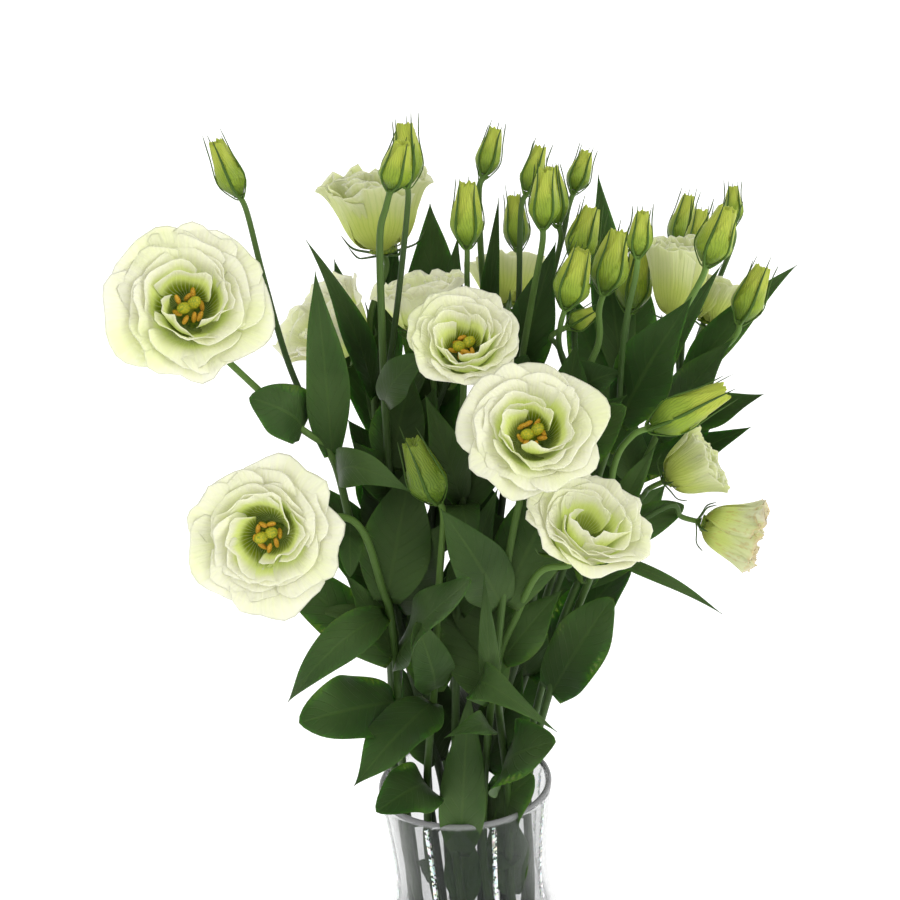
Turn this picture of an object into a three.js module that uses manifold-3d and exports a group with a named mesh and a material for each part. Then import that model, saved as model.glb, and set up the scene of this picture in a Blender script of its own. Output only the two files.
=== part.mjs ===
// A bunch of cut lisianthus standing in a clear glass vase, in millimetres with +Z up.
// The origin is the middle of the vase's foot, on the surface it stands on, and the front faces -Y.
import * as THREE from "three";
import { mergeVertices } from "three/addons/utils/BufferGeometryUtils.js";
import Module from "manifold-3d";

const wasm = await Module();
wasm.setup();

// Vase and water
const VASE_HEIGHT = 220;
const RIM_RADIUS = 43;
const WAIST_RADIUS = 39;
const WAIST_HEIGHT = 166;
const BELLY_RADIUS = 55;
const BELLY_HEIGHT = 78;
const FOOT_RADIUS = 41;
const GLASS = 3;
const FLOOR_THICKNESS = 11;
const WATER_TOP = 118;
const VASE_SIDES = 20;

// Stems, leaves and flowers
const STEM_RADIUS = 2.1;
const BRANCH_RADIUS = 1.35;
const FOOT_TWIST = 50;
const OUTER_RING = { foot: 27, waist: 31, rim: 34.5 };
const INNER_RING = { foot: 12, waist: 16, rim: 18 };
const PETAL_THICKNESS = 0.7;
const SPIRAL = 0.055;
const LEAF_THICKNESS = 0.75;
const SEPAL_RADIUS = 0.8;
const SEPALS = 3;
const STAMENS = 4;
const CLEAR = 0.35;
const SEAT = 0.4;
const SLIVER = 0.05;
const ROOM = 0.96;
const MOST_PAIRED = 3;

// The picture that the places below are read from is 900 pixels square. It was taken from EYE, looking along +Y,
// tipped down by EYE_PITCH and rolled by EYE_ROLL.
const EYE = new THREE.Vector3(4, -610, 577);
const EYE_PITCH = THREE.MathUtils.degToRad(17);
const EYE_ROLL = THREE.MathUtils.degToRad(4);
const FOCAL_PIXELS = 1385;
const PICTURE_CENTRE = 450;

const UP = new THREE.Vector3(0, 0, 1);
const FRONT = new THREE.Vector3(0, -1, 0);

const finish = (colour, roughness, extra = {}) =>
  new THREE.MeshStandardMaterial({ color: colour, roughness, metalness: 0, ...extra });
const GLASS_FINISH = finish("#e9f0ee", 0.05, { transparent: true, opacity: 0.3 });
const WATER_FINISH = finish("#dfeceb", 0.02, { transparent: true, opacity: 0.35 });
const LEAF_FINISH = finish("#3c5c36", 0.55);
const PETAL_FINISH = finish("#eef0cf", 0.6);
const BUD_FINISH = finish("#a6b84a", 0.55);
const HEART_FINISH = finish("#d3b11e", 0.6);

// Open flowers: seen is the pixel of the flower's middle and how far it lies ahead of the vase's axis, faces is
// the way it looks, open runs from 0, a closed cup, to 1, wide open, and tall stretches it along its axis. One with
// a heart shows its stigma and stamens.
const BLOOMS = [
  { name: "upper_left", seen: [189, 308, 70], radius: 32.5, faces: [0.2, -0.88, 0.45], open: 1, heart: true },
  { name: "lower_left", seen: [268, 534, 85], radius: 31.5, faces: [-0.06, -0.97, 0.22], open: 1, heart: true },
  { name: "middle", seen: [464, 346, 50], radius: 24.5, faces: [0.02, -0.68, 0.73], open: 0.8, heart: true },
  { name: "large_front", seen: [532, 434, 80], radius: 28.5, faces: [0.02, -0.8, 0.6], open: 0.9, heart: true },
  { name: "lower_right", seen: [585, 533, 85], radius: 27, faces: [0.28, -0.5, 0.82], open: 0.85 },
  { name: "back_left", seen: [378, 212, -35], radius: 27, faces: [-0.05, -0.1, 1], open: 0.5, tall: 1.2 },
  { name: "behind_leaf", seen: [334, 328, -16], radius: 25.5, faces: [-0.6, -0.35, 0.72], open: 0.6 },
  { name: "cup_middle", seen: [420, 305, 12], radius: 21, faces: [-0.1, -0.05, 1], open: 0.55 },
  { name: "half_open_right", seen: [679, 280, -6], radius: 16, faces: [0.08, -0.05, 1], open: 0.1, tall: 1.6 },
  { name: "back_right", seen: [715, 302, -45], radius: 18.5, faces: [0.4, 0.1, 0.8], open: 0.35 },
  { name: "side_right", seen: [690, 468, 25], radius: 16, faces: [0.85, -0.15, 0.45], open: 0.2, tall: 1.1 },
  { name: "wilted", seen: [731, 531, 35], radius: 15.5, faces: [0.86, -0.3, -0.24], open: 0.2, tall: 1.3 },
  { name: "back_centre", seen: [507, 282, -58], radius: 19, faces: [0.05, 0.35, 0.9], open: 0.3 },
];

// Buds: the pixel and depth of the base, then of the tip.
const BUDS = [
  { name: "far_left", base: [239, 195, 22], tip: [215, 141, 28], radius: 6 },
  { name: "left_pair_front", base: [391, 188, 44], tip: [403, 142, 50], radius: 6.6 },
  { name: "left_pair_back", base: [407, 184, 24], tip: [405, 123, 20], radius: 6.8 },
  { name: "top_centre", base: [484, 175, -4], tip: [496, 128, -8], radius: 5.4 },
  { name: "centre_front", base: [467, 245, 25], tip: [467, 182, 27], radius: 7 },
  { name: "behind_centre", base: [518, 248, -18], tip: [514, 195, -24], radius: 6 },
  { name: "top_narrow", base: [527, 192, -2], tip: [541, 146, -5], radius: 5.2 },
  { name: "top_tall", base: [543, 226, 32], tip: [546, 168, 36], radius: 6.4 },
  { name: "top_hidden", base: [558, 224, -14], tip: [552, 166, -18], radius: 5.8 },
  { name: "top_small", base: [574, 191, -30], tip: [587, 151, -34], radius: 5.4 },
  { name: "upper_right", base: [576, 260, -4], tip: [592, 207, -8], radius: 7.4 },
  { name: "lower_pair_left", base: [566, 306, 40], tip: [582, 249, 42], radius: 7.6 },
  { name: "lower_pair_right", base: [604, 291, 24], tip: [619, 230, 24], radius: 8 },
  { name: "slender", base: [638, 255, 55], tip: [643, 211, 57], radius: 5 },
  { name: "plump", base: [630, 310, -20], tip: [641, 250, -28], radius: 8.2 },
  { name: "back_pointed", base: [676, 246, -52], tip: [689, 195, -58], radius: 5.8 },
  { name: "back_wide", base: [693, 266, -24], tip: [702, 209, -28], radius: 6.2 },
  { name: "right_front", base: [707, 263, 36], tip: [728, 207, 40], radius: 7.8 },
  { name: "right_far", base: [733, 224, -62], tip: [733, 186, -66], radius: 4.8 },
  { name: "far_right", base: [740, 321, 4], tip: [763, 266, 2], radius: 7.2 },
  { name: "sideways", base: [651, 427, 60], tip: [727, 390, 62], radius: 8 },
  { name: "low_front", base: [436, 500, 66], tip: [411, 441, 72], radius: 8.2 },
  { name: "small_inside", base: [569, 326, 14], tip: [594, 311, 14], radius: 4.6 },
];

// Leafy stems. A stem stands in the vase at an angle round it, on its inner or outer ring, then rises through the
// spots of rise and runs into the first of its ends. Each other end is a branch to a flower or bud: start is the
// spot of the stem that it leaves, counted with the foot, waist and rim before those of rise, or else the last one.
// A leaf grows from the place on along the stem, in the same count. paired is how many paired leaves it may have.
const STEMS = [
  {
    name: "far_left",
    angle: 185,
    paired: 0,
    rise: [[388, 640, 38], [354, 535, 46], [331, 455, 50]],
    ends: [
      { to: "upper_left", via: [[291, 420, 58]] },
      { to: "far_left", start: 5, via: [[291, 370, 40], [265, 283, 26]] },
    ],
    leaves: [
      { on: 4.95, tip: [315, 271, 62], wide: 19, kind: "lance", roll: 10 },
      { on: 5.7, tip: [249, 398, 72], wide: 24, kind: "round", roll: -10, sag: 4 },
      { on: 4.7, tip: [411, 492, 74], wide: 17, kind: "lance", roll: 40, sag: 12 },
      { on: 4.2, tip: [350, 577, 66], wide: 11, kind: "round", roll: 0, sag: 6 },
    ],
  },
  {
    name: "lower_left",
    angle: 212,
    rise: [[394, 640, 58], [382, 587, 63]],
    ends: [{ to: "lower_left", via: [[352, 520, 64]] }],
    leaves: [
      { on: 2.9, tip: [344, 572, 62], wide: 14, kind: "lance", roll: 10 },
      { on: 3.5, tip: [288, 702, 84], wide: 18, kind: "lance", roll: -10, sag: 19 },
      { on: 2.6, tip: [299, 723, 88], wide: 32, kind: "round", roll: 0, sag: 1 },
      { on: 3.4, tip: [312, 610, 52], wide: 8, kind: "lance", roll: 0 },
    ],
  },
  {
    name: "back_left",
    angle: 160,
    rise: [[398, 600, 2], [383, 480, -6], [374, 400, -12]],
    ends: [
      { to: "back_left", via: [[370, 320, -22]] },
      { to: "behind_leaf", start: 5, via: [] },
    ],
    leaves: [
      { on: 5, tip: [306, 240, 58], wide: 14, kind: "lance", roll: -10 },
      { on: 4.5, tip: [334, 259, -66], wide: 20, kind: "lance", roll: 0 },
      { on: 4, tip: [348, 420, 4], wide: 18, kind: "lance", roll: 0 },
      { on: 4.7, tip: [396, 232, -52], wide: 18, kind: "lance", roll: 0 },
    ],
  },
  {
    name: "left_pair",
    angle: 232,
    inner: true,
    rise: [[398, 620, 34], [391, 500, 38], [385, 400, 40]],
    ends: [
      { to: "left_pair_front", via: [[381, 300, 42], [380, 235, 42]] },
      { to: "left_pair_back", start: 5, via: [[398, 300, 32]] },
    ],
    leaves: [
      { on: 4.95, tip: [424, 355, 60], wide: 16, kind: "round", roll: 20, sag: 3 },
      { on: 4, tip: [352, 440, 42], wide: 20, kind: "lance", roll: 20 },
      { on: 4.3, tip: [412, 372, 24], wide: 24, kind: "lance", roll: 0 },
      { on: 2.1, tip: [402, 668, 24], wide: 24, kind: "lance", roll: 0 },
    ],
  },
  {
    name: "cup_middle",
    angle: 180,
    inner: true,
    rise: [[432, 620, 8], [433, 500, 6], [436, 410, 5]],
    ends: [
      { to: "cup_middle", via: [] },
      { to: "centre_front", start: 5, via: [[464, 330, 18]] },
    ],
    leaves: [
      { on: 5, tip: [430, 203, -58], wide: 29, kind: "lance", roll: 0 },
      { on: 4.5, tip: [458, 236, -24], wide: 22, kind: "lance", roll: 0 },
      { on: 2.1, tip: [430, 652, -4], wide: 27, kind: "lance", roll: 0 },
    ],
  },
  {
    name: "middle",
    angle: 262,
    rise: [[457, 640, 46], [462, 520, 46], [462, 440, 42]],
    ends: [{ to: "middle", via: [] }],
    leaves: [
      { on: 4.1, tip: [471, 552, 74], wide: 15, kind: "round", roll: 0, sag: 10 },
      { on: 3.2, tip: [498, 488, 62], wide: 18, kind: "lance", roll: 0 },
      { on: 4.2, tip: [425, 395, 62], wide: 17, kind: "lance", roll: 0 },
      { on: 1.5, tip: [470, 690, 50], wide: 22, kind: "lance", roll: 0 },
      { on: 1.05, tip: [460, 812, 22], wide: 18, kind: "lance", roll: 0 },
    ],
  },
  {
    name: "back_centre",
    angle: 105,
    rise: [[470, 610, -34], [482, 470, -40], [490, 380, -42]],
    ends: [
      { to: "top_centre", via: [[482, 270, -22]] },
      { to: "back_centre", start: 5, via: [] },
      { to: "behind_centre", start: 5, via: [[516, 310, -28]] },
    ],
    leaves: [
      { on: 5, tip: [499, 197, -2], wide: 11, kind: "lance", roll: 0 },
    ],
  },
  {
    name: "large_front",
    angle: 284,
    rise: [[496, 660, 62], [508, 560, 66]],
    ends: [{ to: "large_front", via: [[522, 490, 64]] }],
    leaves: [
      { on: 2.7, tip: [484, 573, 82], wide: 9, kind: "lance", roll: 0 },
      { on: 2.7, tip: [557, 732, 90], wide: 17, kind: "lance", roll: 0, sag: 26 },
      { on: 2.5, tip: [444, 738, 86], wide: 12, kind: "lance", roll: 0, sag: 6 },
      { on: 1.4, tip: [524, 836, 14], wide: 15, kind: "lance", roll: 0 },
    ],
  },
  {
    name: "lower_right",
    angle: 306,
    rise: [[497, 675, 52], [518, 612, 62]],
    ends: [{ to: "lower_right", via: [[540, 572, 72]] }],
    leaves: [
      { on: 2.15, tip: [556, 742, 80], wide: 34, kind: "round", roll: -20, sag: 6 },
      { on: 3.2, tip: [562, 590, 60], wide: 20, kind: "lance", roll: 0 },
      { on: 1.05, tip: [502, 790, 19], wide: 21, kind: "lance", roll: 0 },
    ],
  },
  {
    name: "low_front",
    angle: 238,
    rise: [[434, 690, 52], [438, 600, 60]],
    ends: [{ to: "low_front", via: [] }],
    leaves: [
      { on: 2.9, tip: [354, 786, 88], wide: 28, kind: "lance", roll: 20, sag: 6 },
      { on: 2.1, tip: [376, 812, 82], wide: 26, kind: "round", roll: 0, sag: 5 },
      { on: 3, tip: [416, 622, 82], wide: 19, kind: "round", roll: 0, sag: 4 },
      { on: 1.4, tip: [424, 872, 16], wide: 12, kind: "round", roll: 0 },
    ],
  },
  {
    name: "top_right",
    angle: 70,
    inner: true,
    rise: [[488, 620, 0], [505, 480, 2], [516, 395, 4]],
    ends: [
      { to: "top_tall", via: [[532, 300, 22]] },
      { to: "top_narrow", start: 5, via: [[519, 290, 2]] },
      { to: "top_hidden", start: 5, via: [[543, 310, -10]] },
      { to: "top_small", start: 5, via: [[559, 250, -24]] },
    ],
    leaves: [
      { on: 5, tip: [556, 242, 6], wide: 22, kind: "lance", roll: 0 },
      { on: 2.1, tip: [489, 662, 8], wide: 28, kind: "lance", roll: 0 },
    ],
  },
  {
    name: "right_centre",
    angle: 300,
    inner: true,
    rise: [[528, 620, 26], [556, 480, 28], [576, 395, 28]],
    ends: [
      { to: "lower_pair_right", via: [[598, 345, 26]] },
      { to: "lower_pair_left", start: 5, via: [[560, 350, 36]] },
      { to: "upper_right", start: 5, via: [[574, 320, 8]] },
      { to: "small_inside", start: 5, via: [[560, 350, 18]] },
    ],
    leaves: [
      { on: 4.6, tip: [577, 342, 50], wide: 18, kind: "lance", roll: 0 },
      { on: 4.2, tip: [627, 395, 62], wide: 22, kind: "lance", roll: 0 },
      { on: 5, tip: [622, 372, 36], wide: 20, kind: "lance", roll: 0, sag: 4 },
      { on: 2.05, tip: [523, 668, 18], wide: 27, kind: "lance", roll: 0 },
      { on: 1.6, tip: [534, 775, 34], wide: 26, kind: "round", roll: 0 },
    ],
  },
  {
    name: "right_back",
    angle: 48,
    rise: [[545, 600, -28], [600, 450, -38], [622, 380, -38]],
    ends: [
      { to: "half_open_right", via: [] },
      { to: "plump", start: 5, via: [] },
    ],
    leaves: [
      { on: 5, tip: [598, 174, -38], wide: 20, kind: "lance", roll: 0 },
      { on: 5.1, tip: [636, 262, -64], wide: 26, kind: "lance", roll: 0 },
      { on: 4.6, tip: [566, 290, -52], wide: 24, kind: "lance", roll: 0 },
      { on: 4, tip: [560, 400, -78], wide: 22, kind: "lance", roll: 0 },
      { on: 2.1, tip: [546, 636, -38], wide: 30, kind: "round", roll: 0 },
    ],
  },
  {
    name: "right_front",
    angle: 352,
    inner: true,
    rise: [[545, 620, 2], [590, 500, 14], [618, 425, 24]],
    ends: [
      { to: "right_front", via: [[672, 330, 34]] },
      { to: "slender", start: 5, via: [[624, 335, 50]] },
    ],
    leaves: [
      { on: 5, tip: [692, 297, 48], wide: 28, kind: "lance", roll: 0 },
      { on: 4.6, tip: [722, 264, 12], wide: 15, kind: "lance", roll: 0 },
    ],
  },
  {
    name: "far_right",
    angle: 18,
    rise: [[570, 600, -8], [640, 470, -18], [680, 390, -22]],
    ends: [
      { to: "far_right", via: [] },
      { to: "back_right", start: 5, via: [] },
      { to: "back_wide", start: 5, via: [[684, 320, -24]] },
      { to: "back_pointed", start: 5, via: [[676, 320, -44]] },
      { to: "right_far", start: 5, via: [[715, 290, -66]] },
    ],
    leaves: [
      { on: 5, tip: [797, 265, -14], wide: 16, kind: "lance", roll: 0, sag: 8 },
      { on: 4.6, tip: [764, 394, 10], wide: 17, kind: "lance", roll: 0, sag: -6 },
      { on: 4, tip: [751, 427, 0], wide: 17, kind: "lance", roll: 0, sag: -6 },
      { on: 4.4, tip: [734, 338, 18], wide: 23, kind: "lance", roll: 0 },
    ],
  },
  {
    name: "right_side",
    angle: 335,
    paired: 0,
    rise: [[566, 640, 30], [602, 545, 38]],
    ends: [
      { to: "sideways", via: [[614, 466, 54]] },
      { to: "side_right", start: 4, via: [[640, 500, 34]] },
      { to: "wilted", start: 4, via: [[668, 506, 34]] },
    ],
    leaves: [
      { on: 2.6, tip: [613, 598, 50], wide: 28, kind: "round", roll: 0 },
      { on: 3.9, tip: [722, 614, 60], wide: 6, kind: "lance", roll: 0, sag: 10 },
      { on: 4, tip: [656, 445, 44], wide: 13, kind: "lance", roll: 0 },
      { on: 4, tip: [684, 505, 20], wide: 16, kind: "round", roll: 0 },
    ],
  },
];

// Leaf outlines: where the leaf is widest, how wide its foot is, how sharp its tip, and how far its halves fold up.
const LEAF_KINDS = {
  lance: { widest: 0.36, foot: 0.3, taper: 1.15, fold: 0.16 },
  round: { widest: 0.45, foot: 0.4, taper: 0.62, fold: 0.1 },
};

// Petal rings of a flower that is wide open and of one that is still a cup, as profiles of radius and height in
// flower radii, from the outermost ring to the innermost.
const OPEN_OUTER = [[0.12, 0.04], [0.62, 0], [0.52, 0.74], [1.02, 0.66]];
const OPEN_INNER = [[0.08, 0.24], [0.24, 0.2], [0.36, 0.6], [0.3, 0.86]];
const CUP_OUTER = [[0.12, 0.04], [0.78, 0.05], [0.78, 0.95], [0.98, 1.5]];
const CUP_INNER = [[0.08, 0.24], [0.36, 0.2], [0.5, 0.9], [0.36, 1.42]];
const FULL_RINGS = [
  { petals: 5, along: 3, depth: 0, turn: 0.31, overlap: 1.12 },
  { petals: 3, along: 2, depth: 0.5, turn: 0.6, overlap: 0.96 },
];
const PLAIN_RINGS = [
  { petals: 4, along: 2, depth: 0, turn: 0.31, overlap: 0.98 },
  { petals: 2, along: 2, depth: 0.6, turn: 0.6, overlap: 0.8 },
];

// A seeded draw of numbers between 0 and 1.
function draws(seed) {
  let state = seed * 7919 + 17;
  const next = () => {
    state = (state * 16807) % 2147483647;
    return state / 2147483647;
  };
  next();
  next();
  return next;
}

// The place of a spot of the picture: [pixel x, pixel y, how far ahead of the vase's axis].
function spot([px, py, ahead]) {
  const x = px - PICTURE_CENTRE;
  const y = PICTURE_CENTRE - py;
  const across = x * Math.cos(EYE_ROLL) + y * Math.sin(EYE_ROLL);
  const up = y * Math.cos(EYE_ROLL) - x * Math.sin(EYE_ROLL);
  const way = new THREE.Vector3(
    across,
    up * Math.sin(EYE_PITCH) + FOCAL_PIXELS * Math.cos(EYE_PITCH),
    up * Math.cos(EYE_PITCH) - FOCAL_PIXELS * Math.sin(EYE_PITCH),
  );
  return way.multiplyScalar((-ahead - EYE.y) / way.y).add(EYE);
}

// A closed geometry as a solid, turned right side out, without its doubled points and empty triangles.
function solid(geometry) {
  geometry.deleteAttribute("normal");
  geometry.deleteAttribute("uv");
  const joined = mergeVertices(geometry, 1e-5);
  const kept = [];
  const index = joined.index.array;
  for (let i = 0; i < index.length; i += 3) {
    const [a, b, c] = index.slice(i, i + 3);
    if (a !== b && b !== c && c !== a) kept.push(a, b, c);
  }
  const shape = (triangles) =>
    new wasm.Manifold(
      new wasm.Mesh({
        numProp: 3,
        vertProperties: joined.getAttribute("position").array,
        triVerts: new Uint32Array(triangles),
      }),
    );
  const made = shape(kept);
  return made.volume() > 0 ? made : shape(kept.reverse());
}

// Moves each vertex of a geometry, once its seams are joined.
function bent(geometry, move) {
  geometry.deleteAttribute("normal");
  geometry.deleteAttribute("uv");
  const joined = mergeVertices(geometry, 1e-5);
  const places = joined.getAttribute("position");
  const v = new THREE.Vector3();
  for (let i = 0; i < places.count; i++) {
    v.copy(move(v.fromBufferAttribute(places, i)));
    places.setXYZ(i, v.x, v.y, v.z);
  }
  return joined;
}

// A thin blade: a grid of cells whose vertices point gives, with u from -1 to 1, v from 0 to 1 and side 1 on top
// or -1 below. Both faces are split into triangles alike, and a wall closes the edge.
function blade(across, along, point) {
  const columns = across + 1;
  const count = columns * (along + 1);
  const places = [];
  for (const side of [1, -1]) {
    for (let row = 0; row <= along; row++) {
      for (let column = 0; column <= across; column++) {
        places.push(...point((2 * column) / across - 1, row / along, side).toArray());
      }
    }
  }
  const face = [...new THREE.PlaneGeometry(1, 1, across, along).index.array];
  const under = face.map((i) => i + count).reverse();
  const edge = [];
  for (let i = 0; i < across; i++) edge.push(i);
  for (let i = 0; i < along; i++) edge.push(i * columns + across);
  for (let i = across; i > 0; i--) edge.push(along * columns + i);
  for (let i = along; i > 0; i--) edge.push(i * columns);
  const wall = edge.flatMap((p, i) => {
    const q = edge[(i + 1) % edge.length];
    return [p, q, q + count, p, q + count, p + count];
  });
  const geometry = new THREE.BufferGeometry();
  geometry.setAttribute("position", new THREE.Float32BufferAttribute(places, 3));
  geometry.setIndex([...face, ...under, ...wall]);
  return solid(geometry);
}

// A tube round a curve, a cylinder whose rings follow it without twisting.
function tube(curve, radiusAt, sides, steps, grow = 0) {
  const rings = [];
  let normal = new THREE.Vector3(1, 0.2, 0.1);
  for (let i = 0; i <= steps; i++) {
    const way = curve.getTangent(i / steps).normalize();
    const end = i === 0 ? -grow : i === steps ? grow : 0;
    normal = normal.clone().addScaledVector(way, -normal.dot(way)).normalize();
    rings.push({
      middle: curve.getPoint(i / steps).addScaledVector(way, end),
      normal,
      binormal: new THREE.Vector3().crossVectors(way, normal),
      radius: radiusAt(i / steps) + grow,
    });
  }
  const move = (v) => {
    const ring = rings[Math.round((v.y + 0.5) * steps)];
    return ring.middle
      .clone()
      .addScaledVector(ring.normal, v.x * ring.radius)
      .addScaledVector(ring.binormal, v.z * ring.radius);
  };
  return solid(bent(new THREE.CylinderGeometry(1, 1, 1, sides, steps), move));
}

// A straight stick between two points.
const stick = (from, to, radius, sides) => tube(new THREE.LineCurve3(from, to), () => radius, sides, 1);

const boxesMeet = (a, b) => {
  const p = a.boundingBox();
  const q = b.boundingBox();
  return [0, 1, 2].every((k) => p.min[k] <= q.max[k] && q.min[k] <= p.max[k]);
};

// A solid cut clear of each of the cutters that it meets.
function clearOf(own, cutters) {
  return cutters.reduce((left, cutter) => (boxesMeet(left, cutter) ? left.subtract(cutter) : left), own);
}

// The largest body of a solid, without loose scraps or sealed hollows.
function oneBody(made) {
  return made
    .simplify(SLIVER)
    .decompose()
    .reduce((best, body) => (body.volume() > best.volume() ? body : best));
}

function meshOf(name, made, material) {
  const { vertProperties, triVerts } = made.getMesh();
  const geometry = new THREE.BufferGeometry();
  geometry.setAttribute("position", new THREE.BufferAttribute(vertProperties, 3));
  geometry.setIndex(new THREE.BufferAttribute(triVerts, 1));
  const mesh = new THREE.Mesh(geometry, material);
  mesh.name = name;
  return mesh;
}

// The vase is one turned wall, from the middle of its foot up the outside and down the inside to its floor.
function vaseSolid(grow = 0) {
  const outside = new THREE.SplineCurve([
    new THREE.Vector2(FOOT_RADIUS, 3),
    new THREE.Vector2((FOOT_RADIUS + BELLY_RADIUS) / 2 + 4, BELLY_HEIGHT * 0.45),
    new THREE.Vector2(BELLY_RADIUS, BELLY_HEIGHT),
    new THREE.Vector2(WAIST_RADIUS + 6, (BELLY_HEIGHT + WAIST_HEIGHT) / 2 + 12),
    new THREE.Vector2(WAIST_RADIUS, WAIST_HEIGHT),
    new THREE.Vector2(WAIST_RADIUS + 1, (WAIST_HEIGHT + VASE_HEIGHT) / 2),
    new THREE.Vector2(RIM_RADIUS, VASE_HEIGHT - 1.5),
  ]);
  const wall = outside.getPoints(6);
  const wide = (p, by) => new THREE.Vector2(p.x + by, p.y);
  const inside = wall.filter((p) => p.y > FLOOR_THICKNESS + 4);
  const profile = [
    new THREE.Vector2(0, -grow),
    new THREE.Vector2(FOOT_RADIUS - 2.5 + grow, -grow),
    ...wall.map((p) => wide(p, grow)),
    new THREE.Vector2(RIM_RADIUS - 1.4, VASE_HEIGHT + grow),
    ...inside.reverse().map((p) => wide(p, -GLASS - grow)),
    new THREE.Vector2(FOOT_RADIUS - GLASS - 4, FLOOR_THICKNESS + grow),
    new THREE.Vector2(0, FLOOR_THICKNESS + grow),
  ];
  return solid(new THREE.LatheGeometry(profile, VASE_SIDES).rotateX(Math.PI / 2));
}

// What the vase holds up to the water's top, as one plug that stays clear of the glass.
function waterPlug() {
  const filled = solid(new THREE.CylinderGeometry(90, 90, WATER_TOP, 8).rotateX(Math.PI / 2));
  const slab = filled.translate([0, 0, WATER_TOP / 2]);
  return slab
    .subtract(vaseSolid(SEAT))
    .decompose()
    .find((body) => body.boundingBox().min[2] > FLOOR_THICKNESS);
}

const ringPoint = (angle, radius, height) =>
  new THREE.Vector3(
    radius * Math.cos(THREE.MathUtils.degToRad(angle)),
    radius * Math.sin(THREE.MathUtils.degToRad(angle)),
    height,
  );

// A flower's own axes: its seat on the stalk, and the way it faces.
function seatOf(bloom) {
  const axis = new THREE.Vector3(...bloom.faces).normalize();
  const tall = bloom.tall ?? 1;
  const depth = THREE.MathUtils.lerp(0.75, 0.42, bloom.open) * bloom.radius * tall;
  return { axis, seat: spot(bloom.seen).addScaledVector(axis, -depth), size: bloom.radius, tall };
}

function budSeatOf(bud) {
  const seat = spot(bud.base);
  const along = spot(bud.tip).sub(seat);
  return { axis: along.clone().normalize(), seat, size: bud.radius, length: along.length() };
}

const ENDS = new Map([
  ...BLOOMS.map((bloom) => [`bloom_${bloom.name}`, seatOf(bloom)]),
  ...BUDS.map((bud) => [`bud_${bud.name}`, budSeatOf(bud)]),
]);

// The full name of the flower or bud at a stem's end.
const endNamed = (end) => (BLOOMS.some((bloom) => bloom.name === end.to) ? `bloom_${end.to}` : `bud_${end.to}`);

const frameOf = (axis, turn = 0) => {
  const side = new THREE.Vector3().crossVectors(Math.abs(axis.z) > 0.95 ? new THREE.Vector3(1, 0, 0) : UP, axis);
  side.normalize().applyAxisAngle(axis, turn);
  return { side, other: new THREE.Vector3().crossVectors(axis, side), axis };
};

// A point given by its radius, angle and height round a flower's axis.
const roundAxis = (frame, seat, radius, angle, height) =>
  seat
    .clone()
    .addScaledVector(frame.side, radius * Math.cos(angle))
    .addScaledVector(frame.other, radius * Math.sin(angle))
    .addScaledVector(frame.axis, height);

const mixed = (a, b, share) => a.map((p, i) => p.map((x, k) => x + (b[i][k] - x) * share));

// A petal of a ring: a blade that follows the ring's profile, wide at its rim and rounded at its corners. One edge
// lies over the next petal and the other under the one before.
function petal(end, frame, ring, profile, middle, reach, grow) {
  const curve = new THREE.CubicBezierCurve(...profile.map((p) => new THREE.Vector2(...p)));
  const half = (Math.PI / ring.petals) * ring.overlap;
  const point = (u, v, side) => {
    const s = v * (1 - 0.1 * Math.abs(u));
    const p = curve.getPoint(s);
    const t = curve.getTangent(s);
    const offset = SPIRAL * u * s * end.size + side * (PETAL_THICKNESS / 2 + grow);
    const ahead = v === 1 ? grow : 0;
    const radius = p.x * (1 + (reach - 1) * s) * end.size + t.y * offset + t.x * ahead;
    const height = p.y * end.size * end.tall - t.x * offset + t.y * ahead;
    const angle = middle + u * (half * Math.min(1, s / 0.5) + grow / Math.max(radius, 1));
    return roundAxis(frame, end.seat, Math.max(radius, 0.3), angle, height + SEAT);
  };
  return blade(2, ring.along, point);
}

function bloomSolid(bloom, grow = 0) {
  const end = ENDS.get(`bloom_${bloom.name}`);
  const draw = draws(BLOOMS.indexOf(bloom) + 1);
  const frame = frameOf(end.axis, draw() * 6.28);
  const outer = mixed(CUP_OUTER, OPEN_OUTER, bloom.open);
  const inner = mixed(CUP_INNER, OPEN_INNER, bloom.open);
  const petals = (bloom.open > 0.7 ? FULL_RINGS : PLAIN_RINGS).flatMap((ring) => {
    const profile = mixed(outer, inner, ring.depth);
    return Array.from({ length: ring.petals }, (_, i) => {
      const middle = ring.turn + (i * 2 * Math.PI) / ring.petals;
      return petal(end, frame, ring, profile, middle, 0.94 + 0.12 * draw(), grow);
    });
  });
  const [low, high] = [0.25 * end.size + grow, 0.2 * end.size + grow];
  const stub = new THREE.CylinderGeometry(low * 0.8, low, high, 5);
  const core = solid(
    bent(stub, (v) => {
      const height = v.y + high / 2 + SEAT - grow;
      return roundAxis(frame, end.seat, Math.hypot(v.x, v.z), Math.atan2(v.z, v.x), height);
    }),
  );
  return wasm.Manifold.union([core, ...petals]);
}

// A bud: a drop with the spiral folds of its rolled petals and an uneven mouth.
function budSolid(bud, grow = 0) {
  const end = ENDS.get(`bud_${bud.name}`);
  const frame = frameOf(end.axis);
  const sides = 5;
  const steps = 4;
  const move = (v) => {
    const t = v.y + 0.5;
    const angle = Math.atan2(v.z, v.x);
    const body = budRadius(t) * end.size;
    const ragged = t > 0.99 ? 0.04 * end.length * Math.sin(2 * angle + 1) * Math.hypot(v.x, v.z) : 0;
    const height = SEAT + t * (end.length - SEAT) + ragged + (t < 0.01 ? -grow : t > 0.99 ? grow : 0);
    return roundAxis(frame, end.seat, Math.hypot(v.x, v.z) * (body + grow), angle + 1.2 * t, height);
  };
  return solid(bent(new THREE.CylinderGeometry(1, 1, 1, sides, steps), move));
}

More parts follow.
